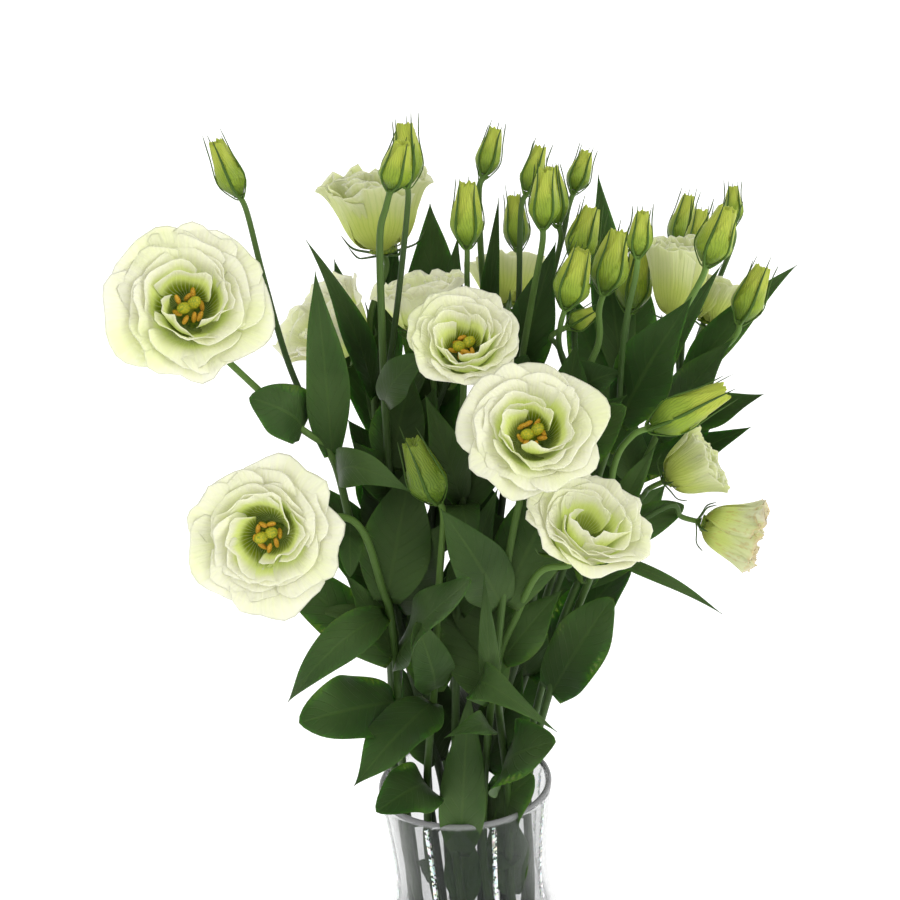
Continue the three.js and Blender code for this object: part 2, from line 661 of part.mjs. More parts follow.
// A bud's radius along its length, as a share of its greatest.
function budRadius(t) {
  return t < 0.32 ? 0.38 + 0.62 * Math.sin((Math.PI * t) / 0.64) : 1 - 0.54 * ((t - 0.32) / 0.68) ** 1.2;
}

// The yellow stigma and stamens in the throat of an open flower.
function heartSolid(bloom) {
  const end = ENDS.get(`bloom_${bloom.name}`);
  const frame = frameOf(end.axis, 0.4);
  const floor = 0.2 * end.size + 2 * SEAT;
  const at = (radius, angle, height) => roundAxis(frame, end.seat, radius, angle, floor + height);
  const pistil = stick(at(0, 0, 0), at(0, 0, 0.3 * end.size), 1.5, 5);
  const lobes = [0, Math.PI].map((angle) => {
    return stick(at(0.2, angle, 0.26 * end.size), at(2.6, angle, 0.33 * end.size), 1.3, 4);
  });
  const stamens = Array.from({ length: STAMENS }, (_, i) => {
    const angle = 0.6 + (i * 2 * Math.PI) / STAMENS;
    const top = at(0.18 * end.size, angle, 0.2 * end.size);
    const tip = at(0.18 * end.size + 1, angle, 0.2 * end.size + 3);
    return tube(curveThrough([at(0.6, angle, 0.5), top, tip]), (t) => 0.45 + 0.6 * t, 3, 2);
  });
  return wasm.Manifold.union([pistil, ...lobes, ...stamens]);
}

const curveThrough = (points) => new THREE.CatmullRomCurve3(points, false, "catmullrom", 0.5);

// A stem's own line, which ends in its first flower, and those of its branches.
function linesOf(stem) {
  const ring = stem.inner ? INNER_RING : OUTER_RING;
  const approach = (end) => {
    const { axis, seat } = ENDS.get(endNamed(end));
    return [...end.via.map(spot), seat.clone().addScaledVector(axis, -9), seat];
  };
  const trunk = [
    ringPoint(stem.angle + FOOT_TWIST, ring.foot, FLOOR_THICKNESS + SEAT),
    ringPoint(stem.angle, ring.waist, WAIST_HEIGHT),
    ringPoint(stem.angle, ring.rim, VASE_HEIGHT + 8),
    ...stem.rise.map(spot),
  ];
  const [leader, ...others] = stem.ends;
  return {
    main: curveThrough([...trunk, ...approach(leader)]),
    branches: others.map((end) => curveThrough([trunk[end.start ?? trunk.length - 1], ...approach(end)])),
  };
}

const flare = (t) => Math.max(0, (t - 0.93) / 0.07) ** 2;
const mainRadius = (t) => STEM_RADIUS * (1.08 - 0.45 * t) + 0.9 * flare(t);
const branchRadius = (t) => BRANCH_RADIUS * (1.1 - 0.1 * t) + 1.1 * flare(t);

function tubesOf(stem, grow = 0) {
  const { main, branches } = linesOf(stem);
  return [
    tube(main, mainRadius, 5, main.points.length - 1, grow),
    ...branches.map((branch) => tube(branch, branchRadius, 3, branch.points.length - 1, grow)),
  ];
}

// The slender sepals that hold a bud.
function sepalsOf(stem, grow = 0) {
  const buds = stem.ends.map((end) => ENDS.get(endNamed(end))).filter((end) => end.length);
  return buds.flatMap(({ axis, seat, size, length }) => {
    const frame = frameOf(axis, 0.5);
    return Array.from({ length: SEPALS }, (_, i) => {
      const at = (radius, height) => roundAxis(frame, seat, radius, (i * 2 * Math.PI) / SEPALS, height);
      const under = [at(0.3, -2.2), at(0.5 * size + 1.2, -1.1)];
      return spike([...under, at(size + 1.3, 0.34 * length), at(0.52 * size + 1.5, 1.15 * length)], grow);
    });
  });
}

// A three-sided spike along a line of points, from its thick end to its sharp one.
function spike(route, grow) {
  const thickness = (t) => (t > 0.99 ? 0 : SEPAL_RADIUS * (1 - 0.35 * t));
  return tube(curveThrough(route), thickness, 3, route.length - 1, grow);
}

const leafWidth = (kind, t) => {
  const { widest, foot, taper } = LEAF_KINDS[kind];
  return t < widest
    ? foot + (1 - foot) * Math.sin((Math.PI / 2) * (t / widest))
    : Math.cos((Math.PI / 2) * ((t - widest) / (1 - widest))) ** taper;
};

// Where a leaf's foot and tip are. A tip is a spot of the picture, or else lies the leaf's reach away, leaning out
// from the stem at a turn round it.
function leafEnds(stem, leaf) {
  const { points } = linesOf(stem).main;
  const [below, above] = [points[Math.ceil(leaf.on) - 1], points[Math.ceil(leaf.on)]];
  const foot = below.clone().lerp(above, leaf.on - Math.ceil(leaf.on) + 1);
  if (leaf.tip) return { foot, tip: spot(leaf.tip) };
  const turn = Math.atan2(foot.y, foot.x) + THREE.MathUtils.degToRad(leaf.turn);
  const lean = THREE.MathUtils.degToRad(leaf.lean);
  const out = new THREE.Vector3(Math.cos(turn), Math.sin(turn), 0);
  const tip = foot.clone().addScaledVector(above.clone().sub(below).normalize(), leaf.reach * Math.cos(lean));
  return { foot, tip: tip.addScaledVector(out, leaf.reach * Math.sin(lean)) };
}

// A leaf blade from its foot on the stem to its tip, arched by sag and turned about its midrib by roll.
function leafSolid(stem, leaf, grow = 0) {
  const { foot, tip } = leafEnds(stem, leaf);
  const along = tip.clone().sub(foot);
  const way = along.clone().normalize();
  const outward = new THREE.Vector3(tip.x, tip.y, 0).normalize();
  const top = UP.clone().addScaledVector(outward, -0.3).addScaledVector(FRONT, 1.4);
  top.addScaledVector(way, -top.dot(way)).normalize();
  const roll = THREE.MathUtils.degToRad(leaf.roll ?? 0);
  const arch = along.length() * 0.1 + 2 * (leaf.sag ?? 0);
  const middle = foot.clone().lerp(tip, 0.5).addScaledVector(top, arch);
  const midrib = new THREE.QuadraticBezierCurve3(foot, middle, tip);
  const { fold } = LEAF_KINDS[leaf.kind];
  const point = (u, v, side) => {
    const t = 0.02 + 0.98 * v;
    const tangent = midrib.getTangent(t);
    const across = new THREE.Vector3().crossVectors(tangent, top).normalize();
    const normal = new THREE.Vector3().crossVectors(across, tangent);
    across.applyAxisAngle(tangent, roll);
    normal.applyAxisAngle(tangent, roll);
    const half = v % 1 ? (leafWidth(leaf.kind, t) * leaf.wide) / 2 + grow : grow;
    const lift = fold * Math.abs(u) * half + side * (LEAF_THICKNESS / 2 + grow);
    return midrib
      .getPoint(t)
      .addScaledVector(across, u * half)
      .addScaledVector(normal, lift)
      .addScaledVector(tangent, v === 1 ? grow : 0);
  };
  return leaf.wide > 12 ? blade(2, leaf.tip ? 3 : 2, point) : blade(1, 3, point);
}

// Leaves grow in pairs from the joints of a stem, each pair across the one below it.
function pairedLeaves(stem) {
  const draw = draws(100 + STEMS.indexOf(stem));
  const last = stem.rise.length + 1.7;
  const leaves = [];
  for (let on = 2.6 + 0.8 * draw(), across = 90 * draw(); on < last; on += 0.8, across += 90) {
    for (const side of [0, 180]) {
      leaves.push({
        on,
        turn: across + side + 40 * (draw() - 0.5),
        lean: 24 + 26 * draw(),
        reach: 56 + 20 * draw(),
        wide: 24 + 8 * draw(),
        kind: draw() < 0.5 ? "lance" : "round",
        roll: 50 * (draw() - 0.5),
      });
    }
  }
  return leaves;
}

// Builds every piece in turn: each is cut clear of those that came before it.
function bouquet() {
  const group = new THREE.Group();
  group.add(meshOf("vase", vaseSolid(), GLASS_FINISH));

  const tubes = STEMS.map((stem) => tubesOf(stem));
  const fatTubes = STEMS.map((stem) => tubesOf(stem, CLEAR));
  const water = clearOf(waterPlug(), fatTubes.flat());
  group.add(meshOf("water", oneBody(water), WATER_FINISH));

  const heads = [];
  const stalkOf = (name) => {
    const owner = STEMS.findIndex((stem) => stem.ends.some((end) => endNamed(end) === name));
    return { owner, branch: STEMS[owner].ends.findIndex((end) => endNamed(end) === name) };
  };
  const placeHead = (name, made, fat, material) => {
    const { owner, branch } = stalkOf(name);
    const others = fatTubes.flatMap((set, k) => set.filter((_, b) => !(k === owner && b === branch)));
    const own = clearOf(made, [...others, ...heads.map((head) => head.fat)]);
    heads.push({ name, fat });
    group.add(meshOf(name, oneBody(own), material));
  };
  for (const bud of BUDS) placeHead(`bud_${bud.name}`, budSolid(bud), budSolid(bud, CLEAR), BUD_FINISH);
  for (const bloom of BLOOMS) {
    placeHead(`bloom_${bloom.name}`, bloomSolid(bloom), bloomSolid(bloom, CLEAR), PETAL_FINISH);
  }
  for (const bloom of BLOOMS.filter((b) => b.heart)) {
    const made = clearOf(heartSolid(bloom), [bloomSolid(bloom, CLEAR)]);
    group.add(meshOf(`heart_${bloom.name}`, oneBody(made), HEART_FINISH));
  }

  addStems(group, tubes, fatTubes, [vaseSolid(CLEAR), ...heads.map((head) => head.fat)]);
  return group;
}

// The stems with their sepals, their own leaves and, where these have room, their paired leaves.
function addStems(group, tubes, fatTubes, fixed) {
  const sepals = STEMS.map((stem) => sepalsOf(stem));
  const fatSepals = STEMS.map((stem) => sepalsOf(stem, CLEAR));
  const fatLeaves = STEMS.map(() => []);
  const elsewhere = (sets, k) => sets.filter((_, j) => j !== k).flat();
  const grown = STEMS.map((stem, k) => {
    const others = [...fixed, ...elsewhere(fatTubes, k), ...elsewhere(fatSepals, k), ...fatLeaves.flat()];
    fatLeaves[k].push(...stem.leaves.map((leaf) => leafSolid(stem, leaf, CLEAR)));
    return stem.leaves.map((leaf) => clearOf(leafSolid(stem, leaf), others));
  });
  STEMS.forEach((stem, k) => {
    const others = [...fixed, ...elsewhere(fatTubes, k), ...elsewhere(fatSepals, k), ...fatLeaves.flat()];
    let added = 0;
    for (const leaf of pairedLeaves(stem)) {
      const whole = leafSolid(stem, leaf);
      const left = oneBody(clearOf(whole, others));
      if (added >= (stem.paired ?? MOST_PAIRED) || left.volume() < ROOM * whole.volume()) continue;
      added++;
      grown[k].push(left);
      const fat = leafSolid(stem, leaf, CLEAR);
      fatLeaves[k].push(fat);
      others.push(fat);
    }
  });
  STEMS.forEach((stem, k) => {
    const others = [...fixed, ...elsewhere(fatTubes, k), ...elsewhere(fatLeaves, k), ...elsewhere(fatSepals, k)];
    const cut = sepals[k].map((sepal) => clearOf(sepal, others));
    const made = oneBody(wasm.Manifold.union([...tubes[k], ...grown[k], ...cut]));
    group.add(meshOf(`leafy_stem_${stem.name}`, made, LEAF_FINISH));
  });
}

export default bouquet();
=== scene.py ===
"""A bunch of cut double lisianthus in a clear glass vase: blooms, buds, stamens, leafy stems and water."""

import math

import bmesh
import bpy
from bpy.props import FloatProperty, FloatVectorProperty, IntProperty, PointerProperty
from mathutils import Matrix, Quaternion, Vector
from mathutils.kdtree import KDTree


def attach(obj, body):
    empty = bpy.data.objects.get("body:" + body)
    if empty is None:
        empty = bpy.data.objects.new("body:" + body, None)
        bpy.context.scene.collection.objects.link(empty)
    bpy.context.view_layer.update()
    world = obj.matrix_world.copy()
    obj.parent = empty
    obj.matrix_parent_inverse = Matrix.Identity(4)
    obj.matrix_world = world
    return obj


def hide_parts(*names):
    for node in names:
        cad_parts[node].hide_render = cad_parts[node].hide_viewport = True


bl_info = {
    "name": "Lisianthus Bouquet",
    "version": (1, 0, 0),
    "blender": (4, 5, 0),
    "location": "3D View > Sidebar > Bouquet",
    "description": "Builds a bunch of double lisianthus standing in a clear glass vase",
    "category": "Add Mesh",
}

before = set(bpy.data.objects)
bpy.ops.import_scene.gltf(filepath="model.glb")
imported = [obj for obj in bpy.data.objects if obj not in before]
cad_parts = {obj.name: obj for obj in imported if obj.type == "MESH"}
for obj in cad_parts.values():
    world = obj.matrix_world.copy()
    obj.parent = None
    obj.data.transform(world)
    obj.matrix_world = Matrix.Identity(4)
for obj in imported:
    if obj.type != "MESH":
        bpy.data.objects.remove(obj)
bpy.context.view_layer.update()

# Lengths are in millimetres until a point is written to a mesh, in metres.
MM = 0.001
UP = Vector((0, 0, 1))
FRONT = Vector((0, -1, 0))

# Vase: the outside of its wall as radius and height, from the foot to the rim.
VASE_WALL = [(41, 3), (52, 35.1), (55, 78), (45, 134), (39, 166), (40, 193), (43, 218.5)]
WALL_STEPS = 60
WAIST_HEIGHT = 166
RIM_HEIGHT = 218.5
RIM_MIDDLE = 41.6
RIM_HALF_WIDTH = 1.35
RIM_RISE = 1.5
GLASS = 3
FLOOR_THICKNESS = 11
FLOOR_EDGE = 5
FOOT_RADIUS_INSIDE = 34
WATER_TOP = 118
WATER_DIP = 1.3
WATER_CLEAR = 0.05
WETTED = 0.12
SPARKLE_BANDS = 8
SPARKLE_TURN = 0.12
SPARKLE_TOP = 216
HAZE_FROM = 216.5
HAZE_FULL = 219

# Stems: rings of places where a stem stands on the vase's floor, crosses its waist and leaves its mouth.
STEM_RADIUS = 2.1
BRANCH_RADIUS = 1.35
STEM_RIBS = 0.03
FOOT_TWIST = 50
OUTER_RING = dict(foot=27, waist=31, rim=34.5)
INNER_RING = dict(foot=12, waist=16, rim=18)
ABOVE_RIM = 228
MOST_PAIRED = 3

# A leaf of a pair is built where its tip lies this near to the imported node.
PAIRED_WITHIN = 0.7

# How far flowers and the feet of stems are kept clear of what carries them.
SEAT = 0.4

# How finely blades and stalks are divided, across and along or round.
PETAL_GRID = (14, 14)
LEAF_GRID = (7, 22)
SEPAL_GRID = (2, 16)
BUD_GRID = (50, 34)
STEM_SIDES = 12
BRANCH_SIDES = 10

# Buds whose foot is lower than this stand in the shade and get a darker, greener finish: painted shade.
LOW_BUD = 400

# Each kind of piece draws its random numbers from its own place.
PETAL_SEED = 1
FINE_PETAL_SEED = 500
BUD_SEED = 700
HEART_SEED = 900
STEM_SEED = 300
PAIRED_SEED = 100

# Petals: profiles from the bottom of a petal to its rim, in shares of the bloom's radius, across and along
# its axis. Outer petals follow the first of a pair, and deeper ones come nearer to the second.
OPEN_OUTER = [(0.12, 0.04), (0.62, 0), (0.52, 0.74), (1.02, 0.66)]
OPEN_INNER = [(0.08, 0.24), (0.24, 0.2), (0.36, 0.6), (0.3, 0.86)]
CUP_OUTER = [(0.12, 0.04), (0.78, 0.05), (0.78, 0.95), (0.98, 1.5)]
CUP_INNER = [(0.08, 0.24), (0.36, 0.2), (0.5, 0.9), (0.36, 1.42)]

# Layers of petals, outermost first: how many, how deep in the bloom, how far turned, how much they overlap.
FULL_LAYERS = [
    dict(petals=5, depth=0, turn=0.31, overlap=1.34),
    dict(petals=5, depth=0.15, turn=0.94, overlap=1.3),
    dict(petals=4, depth=0.32, turn=0.15, overlap=1.24),
    dict(petals=3, depth=0.5, turn=0.6, overlap=1.1),
    dict(petals=3, depth=0.68, turn=1.7, overlap=1.16),
    dict(petals=3, depth=0.86, turn=0.7, overlap=1.2),
]
PLAIN_LAYERS = [
    dict(petals=4, depth=0, turn=0.31, overlap=1.2),
    dict(petals=4, depth=0.22, turn=1.1, overlap=1.14),
    dict(petals=4, depth=0.42, turn=0.7, overlap=1.1),
    dict(petals=2, depth=0.6, turn=0.6, overlap=0.96),
    dict(petals=3, depth=0.85, turn=1.4, overlap=1.05),
]

# Depths of the layers that the solids have too. The others are turned by draws of their own.
MODELLED_DEPTHS = (0, 0.5, 0.6)

# Petals deeper in a bloom than this have the throat's finish, whose green reaches further up: partly the
# throat's own colour, partly painted shade deep in the bloom.
THROAT_DEPTH = 0.6

# Blooms more open than FULLY_OPEN have the full layers, and those up to HALF_OPEN still have a bud's green.
FULLY_OPEN = 0.7
HALF_OPEN = 0.5

# How far up a bud its mouth turns inwards.
BUD_MOUTH = 0.93

# Leaves: how far along a leaf is widest, how wide its foot is, how fast it tapers and how much it folds.
LEAF_KINDS = dict(
    lance=dict(widest=0.36, foot=0.3, taper=1.15, fold=0.16),
    round=dict(widest=0.45, foot=0.4, taper=0.62, fold=0.1),
)

# Colours that several finishes share.
WHITE = (1, 1, 1)
# Painted shade: the near black green that leaves and stems darken to towards the middle of the bunch.
PAINTED_INNER_SHADE = (0.002, 0.005, 0.001)
LEAF_SHINE = (0.8, 1.0, 0.55, 1.0)

# Studio: a round floor that curves up into a backdrop, and two soft lights that point at AIM, in metres.
FLOOR_REACH = 1200
FLOOR_BEND_START = 2100
FLOOR_BEND = 900
FLOOR_STEPS = 12
FLOOR_TURNS = 96
BACKDROP_HEIGHT = 1600
KEY_PLACE = (-0.9, -1.3, 1.7)
KEY_SIZE = 1.5
FILL_PLACE = (1.4, -0.9, 0.9)
FILL_SIZE = 1.0
AIM = (0, 0, 0.4)

# The picture that the places below are read from is 900 pixels square, seen from EYE.
# A place is [pixels across, pixels down, millimetres ahead of the vase's middle towards EYE].
EYE = Vector((4, -610, 577))
EYE_PITCH = math.radians(17)
EYE_ROLL = math.radians(4)
FOCAL_PIXELS = 1385
PICTURE_CENTRE = 450


def bloom_at(name, seen, radius, faces, **more):
    return dict(name=name, seen=seen, radius=radius, faces=faces, **more)


def bud_at(name, base, tip, radius):
    return dict(name=name, base=base, tip=tip, radius=radius)


def leaf_at(on, tip, wide, kind="lance", roll=0, sag=0):
    return dict(on=on, tip=tip, wide=wide, kind=kind, roll=roll, sag=sag)


def to(name, *via):
    """What a stem or branch ends in, and the places on its way there."""
    return dict(to=name, via=via)


def stem_from(name, angle, rise, ends, leaves, inner=False, paired=MOST_PAIRED):
    ring = INNER_RING if inner else OUTER_RING
    return dict(name=name, angle=angle, rise=rise, ends=ends, leaves=leaves, ring=ring, paired=paired)


# Blooms: where the middle of the flower is seen, its radius, which way it faces and how far it is open.
BLOOMS = [
    bloom_at("upper_left", [189, 308, 70], 32.5, [0.2, -0.88, 0.45], open=1, heart=True),
    bloom_at("lower_left", [268, 534, 85], 31.5, [-0.06, -0.97, 0.22], open=1, heart=True),
    bloom_at("middle", [464, 346, 50], 24.5, [0.02, -0.68, 0.73], open=0.8, heart=True),
    bloom_at("large_front", [532, 434, 80], 28.5, [0.02, -0.8, 0.6], open=0.9, heart=True),
    bloom_at("lower_right", [585, 533, 85], 27, [0.28, -0.5, 0.82], open=0.85),
    bloom_at("back_left", [378, 212, -35], 27, [-0.05, -0.1, 1], open=0.5, tall=1.2),
    bloom_at("behind_leaf", [334, 328, -16], 25.5, [-0.6, -0.35, 0.72], open=0.6),
    bloom_at("cup_middle", [420, 305, 12], 21, [-0.1, -0.05, 1], open=0.55),
    bloom_at("half_open_right", [679, 280, -6], 16, [0.08, -0.05, 1], open=0.1, tall=1.6),
    bloom_at("back_right", [715, 302, -45], 18.5, [0.4, 0.1, 0.8], open=0.35),
    bloom_at("side_right", [690, 468, 25], 16, [0.85, -0.15, 0.45], open=0.2, tall=1.1),
    bloom_at("wilted", [731, 531, 35], 15.5, [0.86, -0.3, -0.24], open=0.2, tall=1.3),
    bloom_at("back_centre", [507, 282, -58], 19, [0.05, 0.35, 0.9], open=0.3),
]

# Buds: where a bud's foot and tip are seen, and its radius.
BUDS = [
    bud_at("far_left", [239, 195, 22], [215, 141, 28], 6),
    bud_at("left_pair_front", [391, 188, 44], [403, 142, 50], 6.6),
    bud_at("left_pair_back", [407, 184, 24], [405, 123, 20], 6.8),
    bud_at("top_centre", [484, 175, -4], [496, 128, -8], 5.4),
    bud_at("centre_front", [467, 245, 25], [467, 182, 27], 7),
    bud_at("behind_centre", [518, 248, -18], [514, 195, -24], 6),
    bud_at("top_narrow", [527, 192, -2], [541, 146, -5], 5.2),
    bud_at("top_tall", [543, 226, 32], [546, 168, 36], 6.4),
    bud_at("top_hidden", [558, 224, -14], [552, 166, -18], 5.8),
    bud_at("top_small", [574, 191, -30], [587, 151, -34], 5.4),
    bud_at("upper_right", [576, 260, -4], [592, 207, -8], 7.4),
    bud_at("lower_pair_left", [566, 306, 40], [582, 249, 42], 7.6),
    bud_at("lower_pair_right", [604, 291, 24], [619, 230, 24], 8),
    bud_at("slender", [638, 255, 55], [643, 211, 57], 5),
    bud_at("plump", [630, 310, -20], [641, 250, -28], 8.2),
    bud_at("back_pointed", [676, 246, -52], [689, 195, -58], 5.8),
    bud_at("back_wide", [693, 266, -24], [702, 209, -28], 6.2),
    bud_at("right_front", [707, 263, 36], [728, 207, 40], 7.8),
    bud_at("right_far", [733, 224, -62], [733, 186, -66], 4.8),
    bud_at("far_right", [740, 321, 4], [763, 266, 2], 7.2),
    bud_at("sideways", [651, 427, 60], [727, 390, 62], 8),
    bud_at("low_front", [436, 500, 66], [411, 441, 72], 8.2),
    bud_at("small_inside", [569, 326, 14], [594, 311, 14], 4.6),
]

# Stems: the angle round the vase, places up the stem, what it and its branches end in, and its leaves.
# A branch grows from the last place of its stem. A leaf has the place on the stem that it grows from,
# counted from the stem's foot, then its tip and its width. roll turns it about its midrib, in degrees, and
# sag arches it.
STEMS = [
    stem_from(
        "far_left", angle=185, paired=0,
        rise=[[388, 640, 38], [354, 535, 46], [331, 455, 50]],
        ends=[to("upper_left", [291, 420, 58]), to("far_left", [291, 370, 40], [265, 283, 26])],
        leaves=[
            leaf_at(4.95, [315, 271, 62], 19, roll=10),
            leaf_at(5.7, [249, 398, 72], 24, kind="round", roll=-10, sag=4),
            leaf_at(4.7, [411, 492, 74], 17, roll=40, sag=12),
            leaf_at(4.2, [350, 577, 66], 11, kind="round", sag=6),
        ],
    ),
    stem_from(
        "lower_left", angle=212,
        rise=[[394, 640, 58], [382, 587, 63]],
        ends=[to("lower_left", [352, 520, 64])],
        leaves=[
            leaf_at(2.9, [344, 572, 62], 14, roll=10),
            leaf_at(3.5, [288, 702, 84], 18, roll=-10, sag=19),
            leaf_at(2.6, [299, 723, 88], 32, kind="round", sag=1),
            leaf_at(3.4, [312, 610, 52], 8),
        ],
    ),
    stem_from(
        "back_left", angle=160,
        rise=[[398, 600, 2], [383, 480, -6], [374, 400, -12]],
        ends=[to("back_left", [370, 320, -22]), to("behind_leaf")],
        leaves=[
            leaf_at(5, [306, 240, 58], 14, roll=-10),
            leaf_at(4.5, [334, 259, -66], 20),
            leaf_at(4, [348, 420, 4], 18),
            leaf_at(4.7, [396, 232, -52], 18),
        ],
    ),
    stem_from(
        "left_pair", angle=232, inner=True,
        rise=[[398, 620, 34], [391, 500, 38], [385, 400, 40]],
        ends=[
            to("left_pair_front", [381, 300, 42], [380, 235, 42]),
            to("left_pair_back", [398, 300, 32]),
        ],
        leaves=[
            leaf_at(4.95, [424, 355, 60], 16, kind="round", roll=20, sag=3),
            leaf_at(4, [352, 440, 42], 20, roll=20),
            leaf_at(4.3, [412, 372, 24], 24),
            leaf_at(2.1, [402, 668, 24], 24),
        ],
    ),
    stem_from(
        "cup_middle", angle=180, inner=True,
        rise=[[432, 620, 8], [433, 500, 6], [436, 410, 5]],
        ends=[to("cup_middle"), to("centre_front", [464, 330, 18])],
        leaves=[
            leaf_at(5, [430, 203, -58], 29),
            leaf_at(4.5, [458, 236, -24], 22),
            leaf_at(2.1, [430, 652, -4], 27),
        ],
    ),
    stem_from(
        "middle", angle=262,
        rise=[[457, 640, 46], [462, 520, 46], [462, 440, 42]],
        ends=[to("middle")],
        leaves=[
            leaf_at(4.1, [471, 552, 74], 15, kind="round", sag=10),
            leaf_at(3.2, [498, 488, 62], 18),
            leaf_at(4.2, [425, 395, 62], 17),
            leaf_at(1.5, [470, 690, 50], 22),
            leaf_at(1.05, [460, 812, 22], 18),
        ],
    ),
    stem_from(
        "back_centre", angle=105,
        rise=[[470, 610, -34], [482, 470, -40], [490, 380, -42]],
        ends=[to("top_centre", [482, 270, -22]), to("back_centre"), to("behind_centre", [516, 310, -28])],
        leaves=[leaf_at(5, [499, 197, -2], 11)],
    ),
    stem_from(
        "large_front", angle=284,
        rise=[[496, 660, 62], [508, 560, 66]],
        ends=[to("large_front", [522, 490, 64])],
        leaves=[
            leaf_at(2.7, [484, 573, 82], 9),
            leaf_at(2.7, [557, 732, 90], 17, sag=26),
            leaf_at(2.5, [444, 738, 86], 12, sag=6),
            leaf_at(1.4, [524, 836, 14], 15),
        ],
    ),
    stem_from(
        "lower_right", angle=306,
        rise=[[497, 675, 52], [518, 612, 62]],
        ends=[to("lower_right", [540, 572, 72])],
        leaves=[
            leaf_at(2.15, [556, 742, 80], 34, kind="round", roll=-20, sag=6),
            leaf_at(3.2, [562, 590, 60], 20),
            leaf_at(1.05, [502, 790, 19], 21),
        ],
    ),
    stem_from(
        "low_front", angle=238,
        rise=[[434, 690, 52], [438, 600, 60]],
        ends=[to("low_front")],
        leaves=[
            leaf_at(2.9, [354, 786, 88], 28, roll=20, sag=6),
            leaf_at(2.1, [376, 812, 82], 26, kind="round", sag=5),
            leaf_at(3, [416, 622, 82], 19, kind="round", sag=4),
            leaf_at(1.4, [424, 872, 16], 12, kind="round"),
        ],
    ),
    stem_from(
        "top_right", angle=70, inner=True,
        rise=[[488, 620, 0], [505, 480, 2], [516, 395, 4]],
        ends=[
            to("top_tall", [532, 300, 22]),
            to("top_narrow", [519, 290, 2]),
            to("top_hidden", [543, 310, -10]),
            to("top_small", [559, 250, -24]),
        ],
        leaves=[leaf_at(5, [556, 242, 6], 22), leaf_at(2.1, [489, 662, 8], 28)],
    ),
    stem_from(
        "right_centre", angle=300, inner=True,
        rise=[[528, 620, 26], [556, 480, 28], [576, 395, 28]],
        ends=[
            to("lower_pair_right", [598, 345, 26]),
            to("lower_pair_left", [560, 350, 36]),
            to("upper_right", [574, 320, 8]),
            to("small_inside", [560, 350, 18]),
        ],
        leaves=[
            leaf_at(4.6, [577, 342, 50], 18),
            leaf_at(4.2, [627, 395, 62], 22),
            leaf_at(5, [622, 372, 36], 20, sag=4),
            leaf_at(2.05, [523, 668, 18], 27),
            leaf_at(1.6, [534, 775, 34], 26, kind="round"),
        ],
    ),
    stem_from(
        "right_back", angle=48,
        rise=[[545, 600, -28], [600, 450, -38], [622, 380, -38]],
        ends=[to("half_open_right"), to("plump")],
        leaves=[
            leaf_at(5, [598, 174, -38], 20),
            leaf_at(5.1, [636, 262, -64], 26),
            leaf_at(4.6, [566, 290, -52], 24),
            leaf_at(4, [560, 400, -78], 22),
            leaf_at(2.1, [546, 636, -38], 30, kind="round"),
        ],
    ),
    stem_from(
        "right_front", angle=352, inner=True,
        rise=[[545, 620, 2], [590, 500, 14], [618, 425, 24]],
        ends=[to("right_front", [672, 330, 34]), to("slender", [624, 335, 50])],
        leaves=[leaf_at(5, [692, 297, 48], 28), leaf_at(4.6, [722, 264, 12], 15)],
    ),
    stem_from(
        "far_right", angle=18,
        rise=[[570, 600, -8], [640, 470, -18], [680, 390, -22]],
        ends=[
            to("far_right"),
            to("back_right"),
            to("back_wide", [684, 320, -24]),
            to("back_pointed", [676, 320, -44]),
            to("right_far", [715, 290, -66]),
        ],
        leaves=[
            leaf_at(5, [797, 265, -14], 16, sag=8),
            leaf_at(4.6, [764, 394, 10], 17, sag=-6),
            leaf_at(4, [751, 427, 0], 17, sag=-6),
            leaf_at(4.4, [734, 338, 18], 23),
        ],
    ),
    stem_from(
        "right_side", angle=335, paired=0,
        rise=[[566, 640, 30], [602, 545, 38]],
        ends=[
            to("sideways", [614, 466, 54]),
            to("side_right", [640, 500, 34]),
            to("wilted", [668, 506, 34]),
        ],
        leaves=[
            leaf_at(2.6, [613, 598, 50], 28, kind="round"),
            leaf_at(3.9, [722, 614, 60], 6, sag=10),
            leaf_at(4, [656, 445, 44], 13),
            leaf_at(4, [684, 505, 20], 16, kind="round"),
        ],
    ),
]


# Places and curves.


class Draws:
    """Seeded draws between 0 and 1, alike in every run."""

    def __init__(self, seed):
        self.state = seed * 7919 + 17
        self.next()
        self.next()

    def next(self):
        self.state = (self.state * 16807) % 2147483647
        return self.state / 2147483647

    def between(self, low, high):
        return low + (high - low) * self.next()


def mix(a, b, share):
    return a + (b - a) * share


def spot(seen):
    """Where a place of the picture lies, in millimetres."""
    px, py, ahead = seen
    x, y = px - PICTURE_CENTRE, PICTURE_CENTRE - py
    across = x * math.cos(EYE_ROLL) + y * math.sin(EYE_ROLL)
    up = y * math.cos(EYE_ROLL) - x * math.sin(EYE_ROLL)
    way = Vector(
        (
            across,
            up * math.sin(EYE_PITCH) + FOCAL_PIXELS * math.cos(EYE_PITCH),
            up * math.cos(EYE_PITCH) - FOCAL_PIXELS * math.sin(EYE_PITCH),
        )
    )
    return EYE + way * ((-ahead - EYE.y) / way.y)


def ring_point(angle, radius, height):
    turn = math.radians(angle)
    return Vector((radius * math.cos(turn), radius * math.sin(turn), height))


class Line:
    """A smooth line through points, its place and way given by a share from 0 to 1."""

    def __init__(self, points):
        first, last = points[0] * 2 - points[1], points[-1] * 2 - points[-2]
        self.points = [first, *points, last]
        self.spans = len(points) - 1

    def at(self, share):
        along = min(max(share, 0), 1) * self.spans
        k = min(int(along), self.spans - 1)
        t = along - k
        a, b, c, d = self.points[k : k + 4]
        square, cube = 2 * a - 5 * b + 4 * c - d, 3 * b - a - 3 * c + d
        return 0.5 * (2 * b + (c - a) * t + square * t**2 + cube * t**3)

    def way(self, share):
        return (self.at(min(share + 0.002, 1)) - self.at(max(share - 0.002, 0))).normalized()


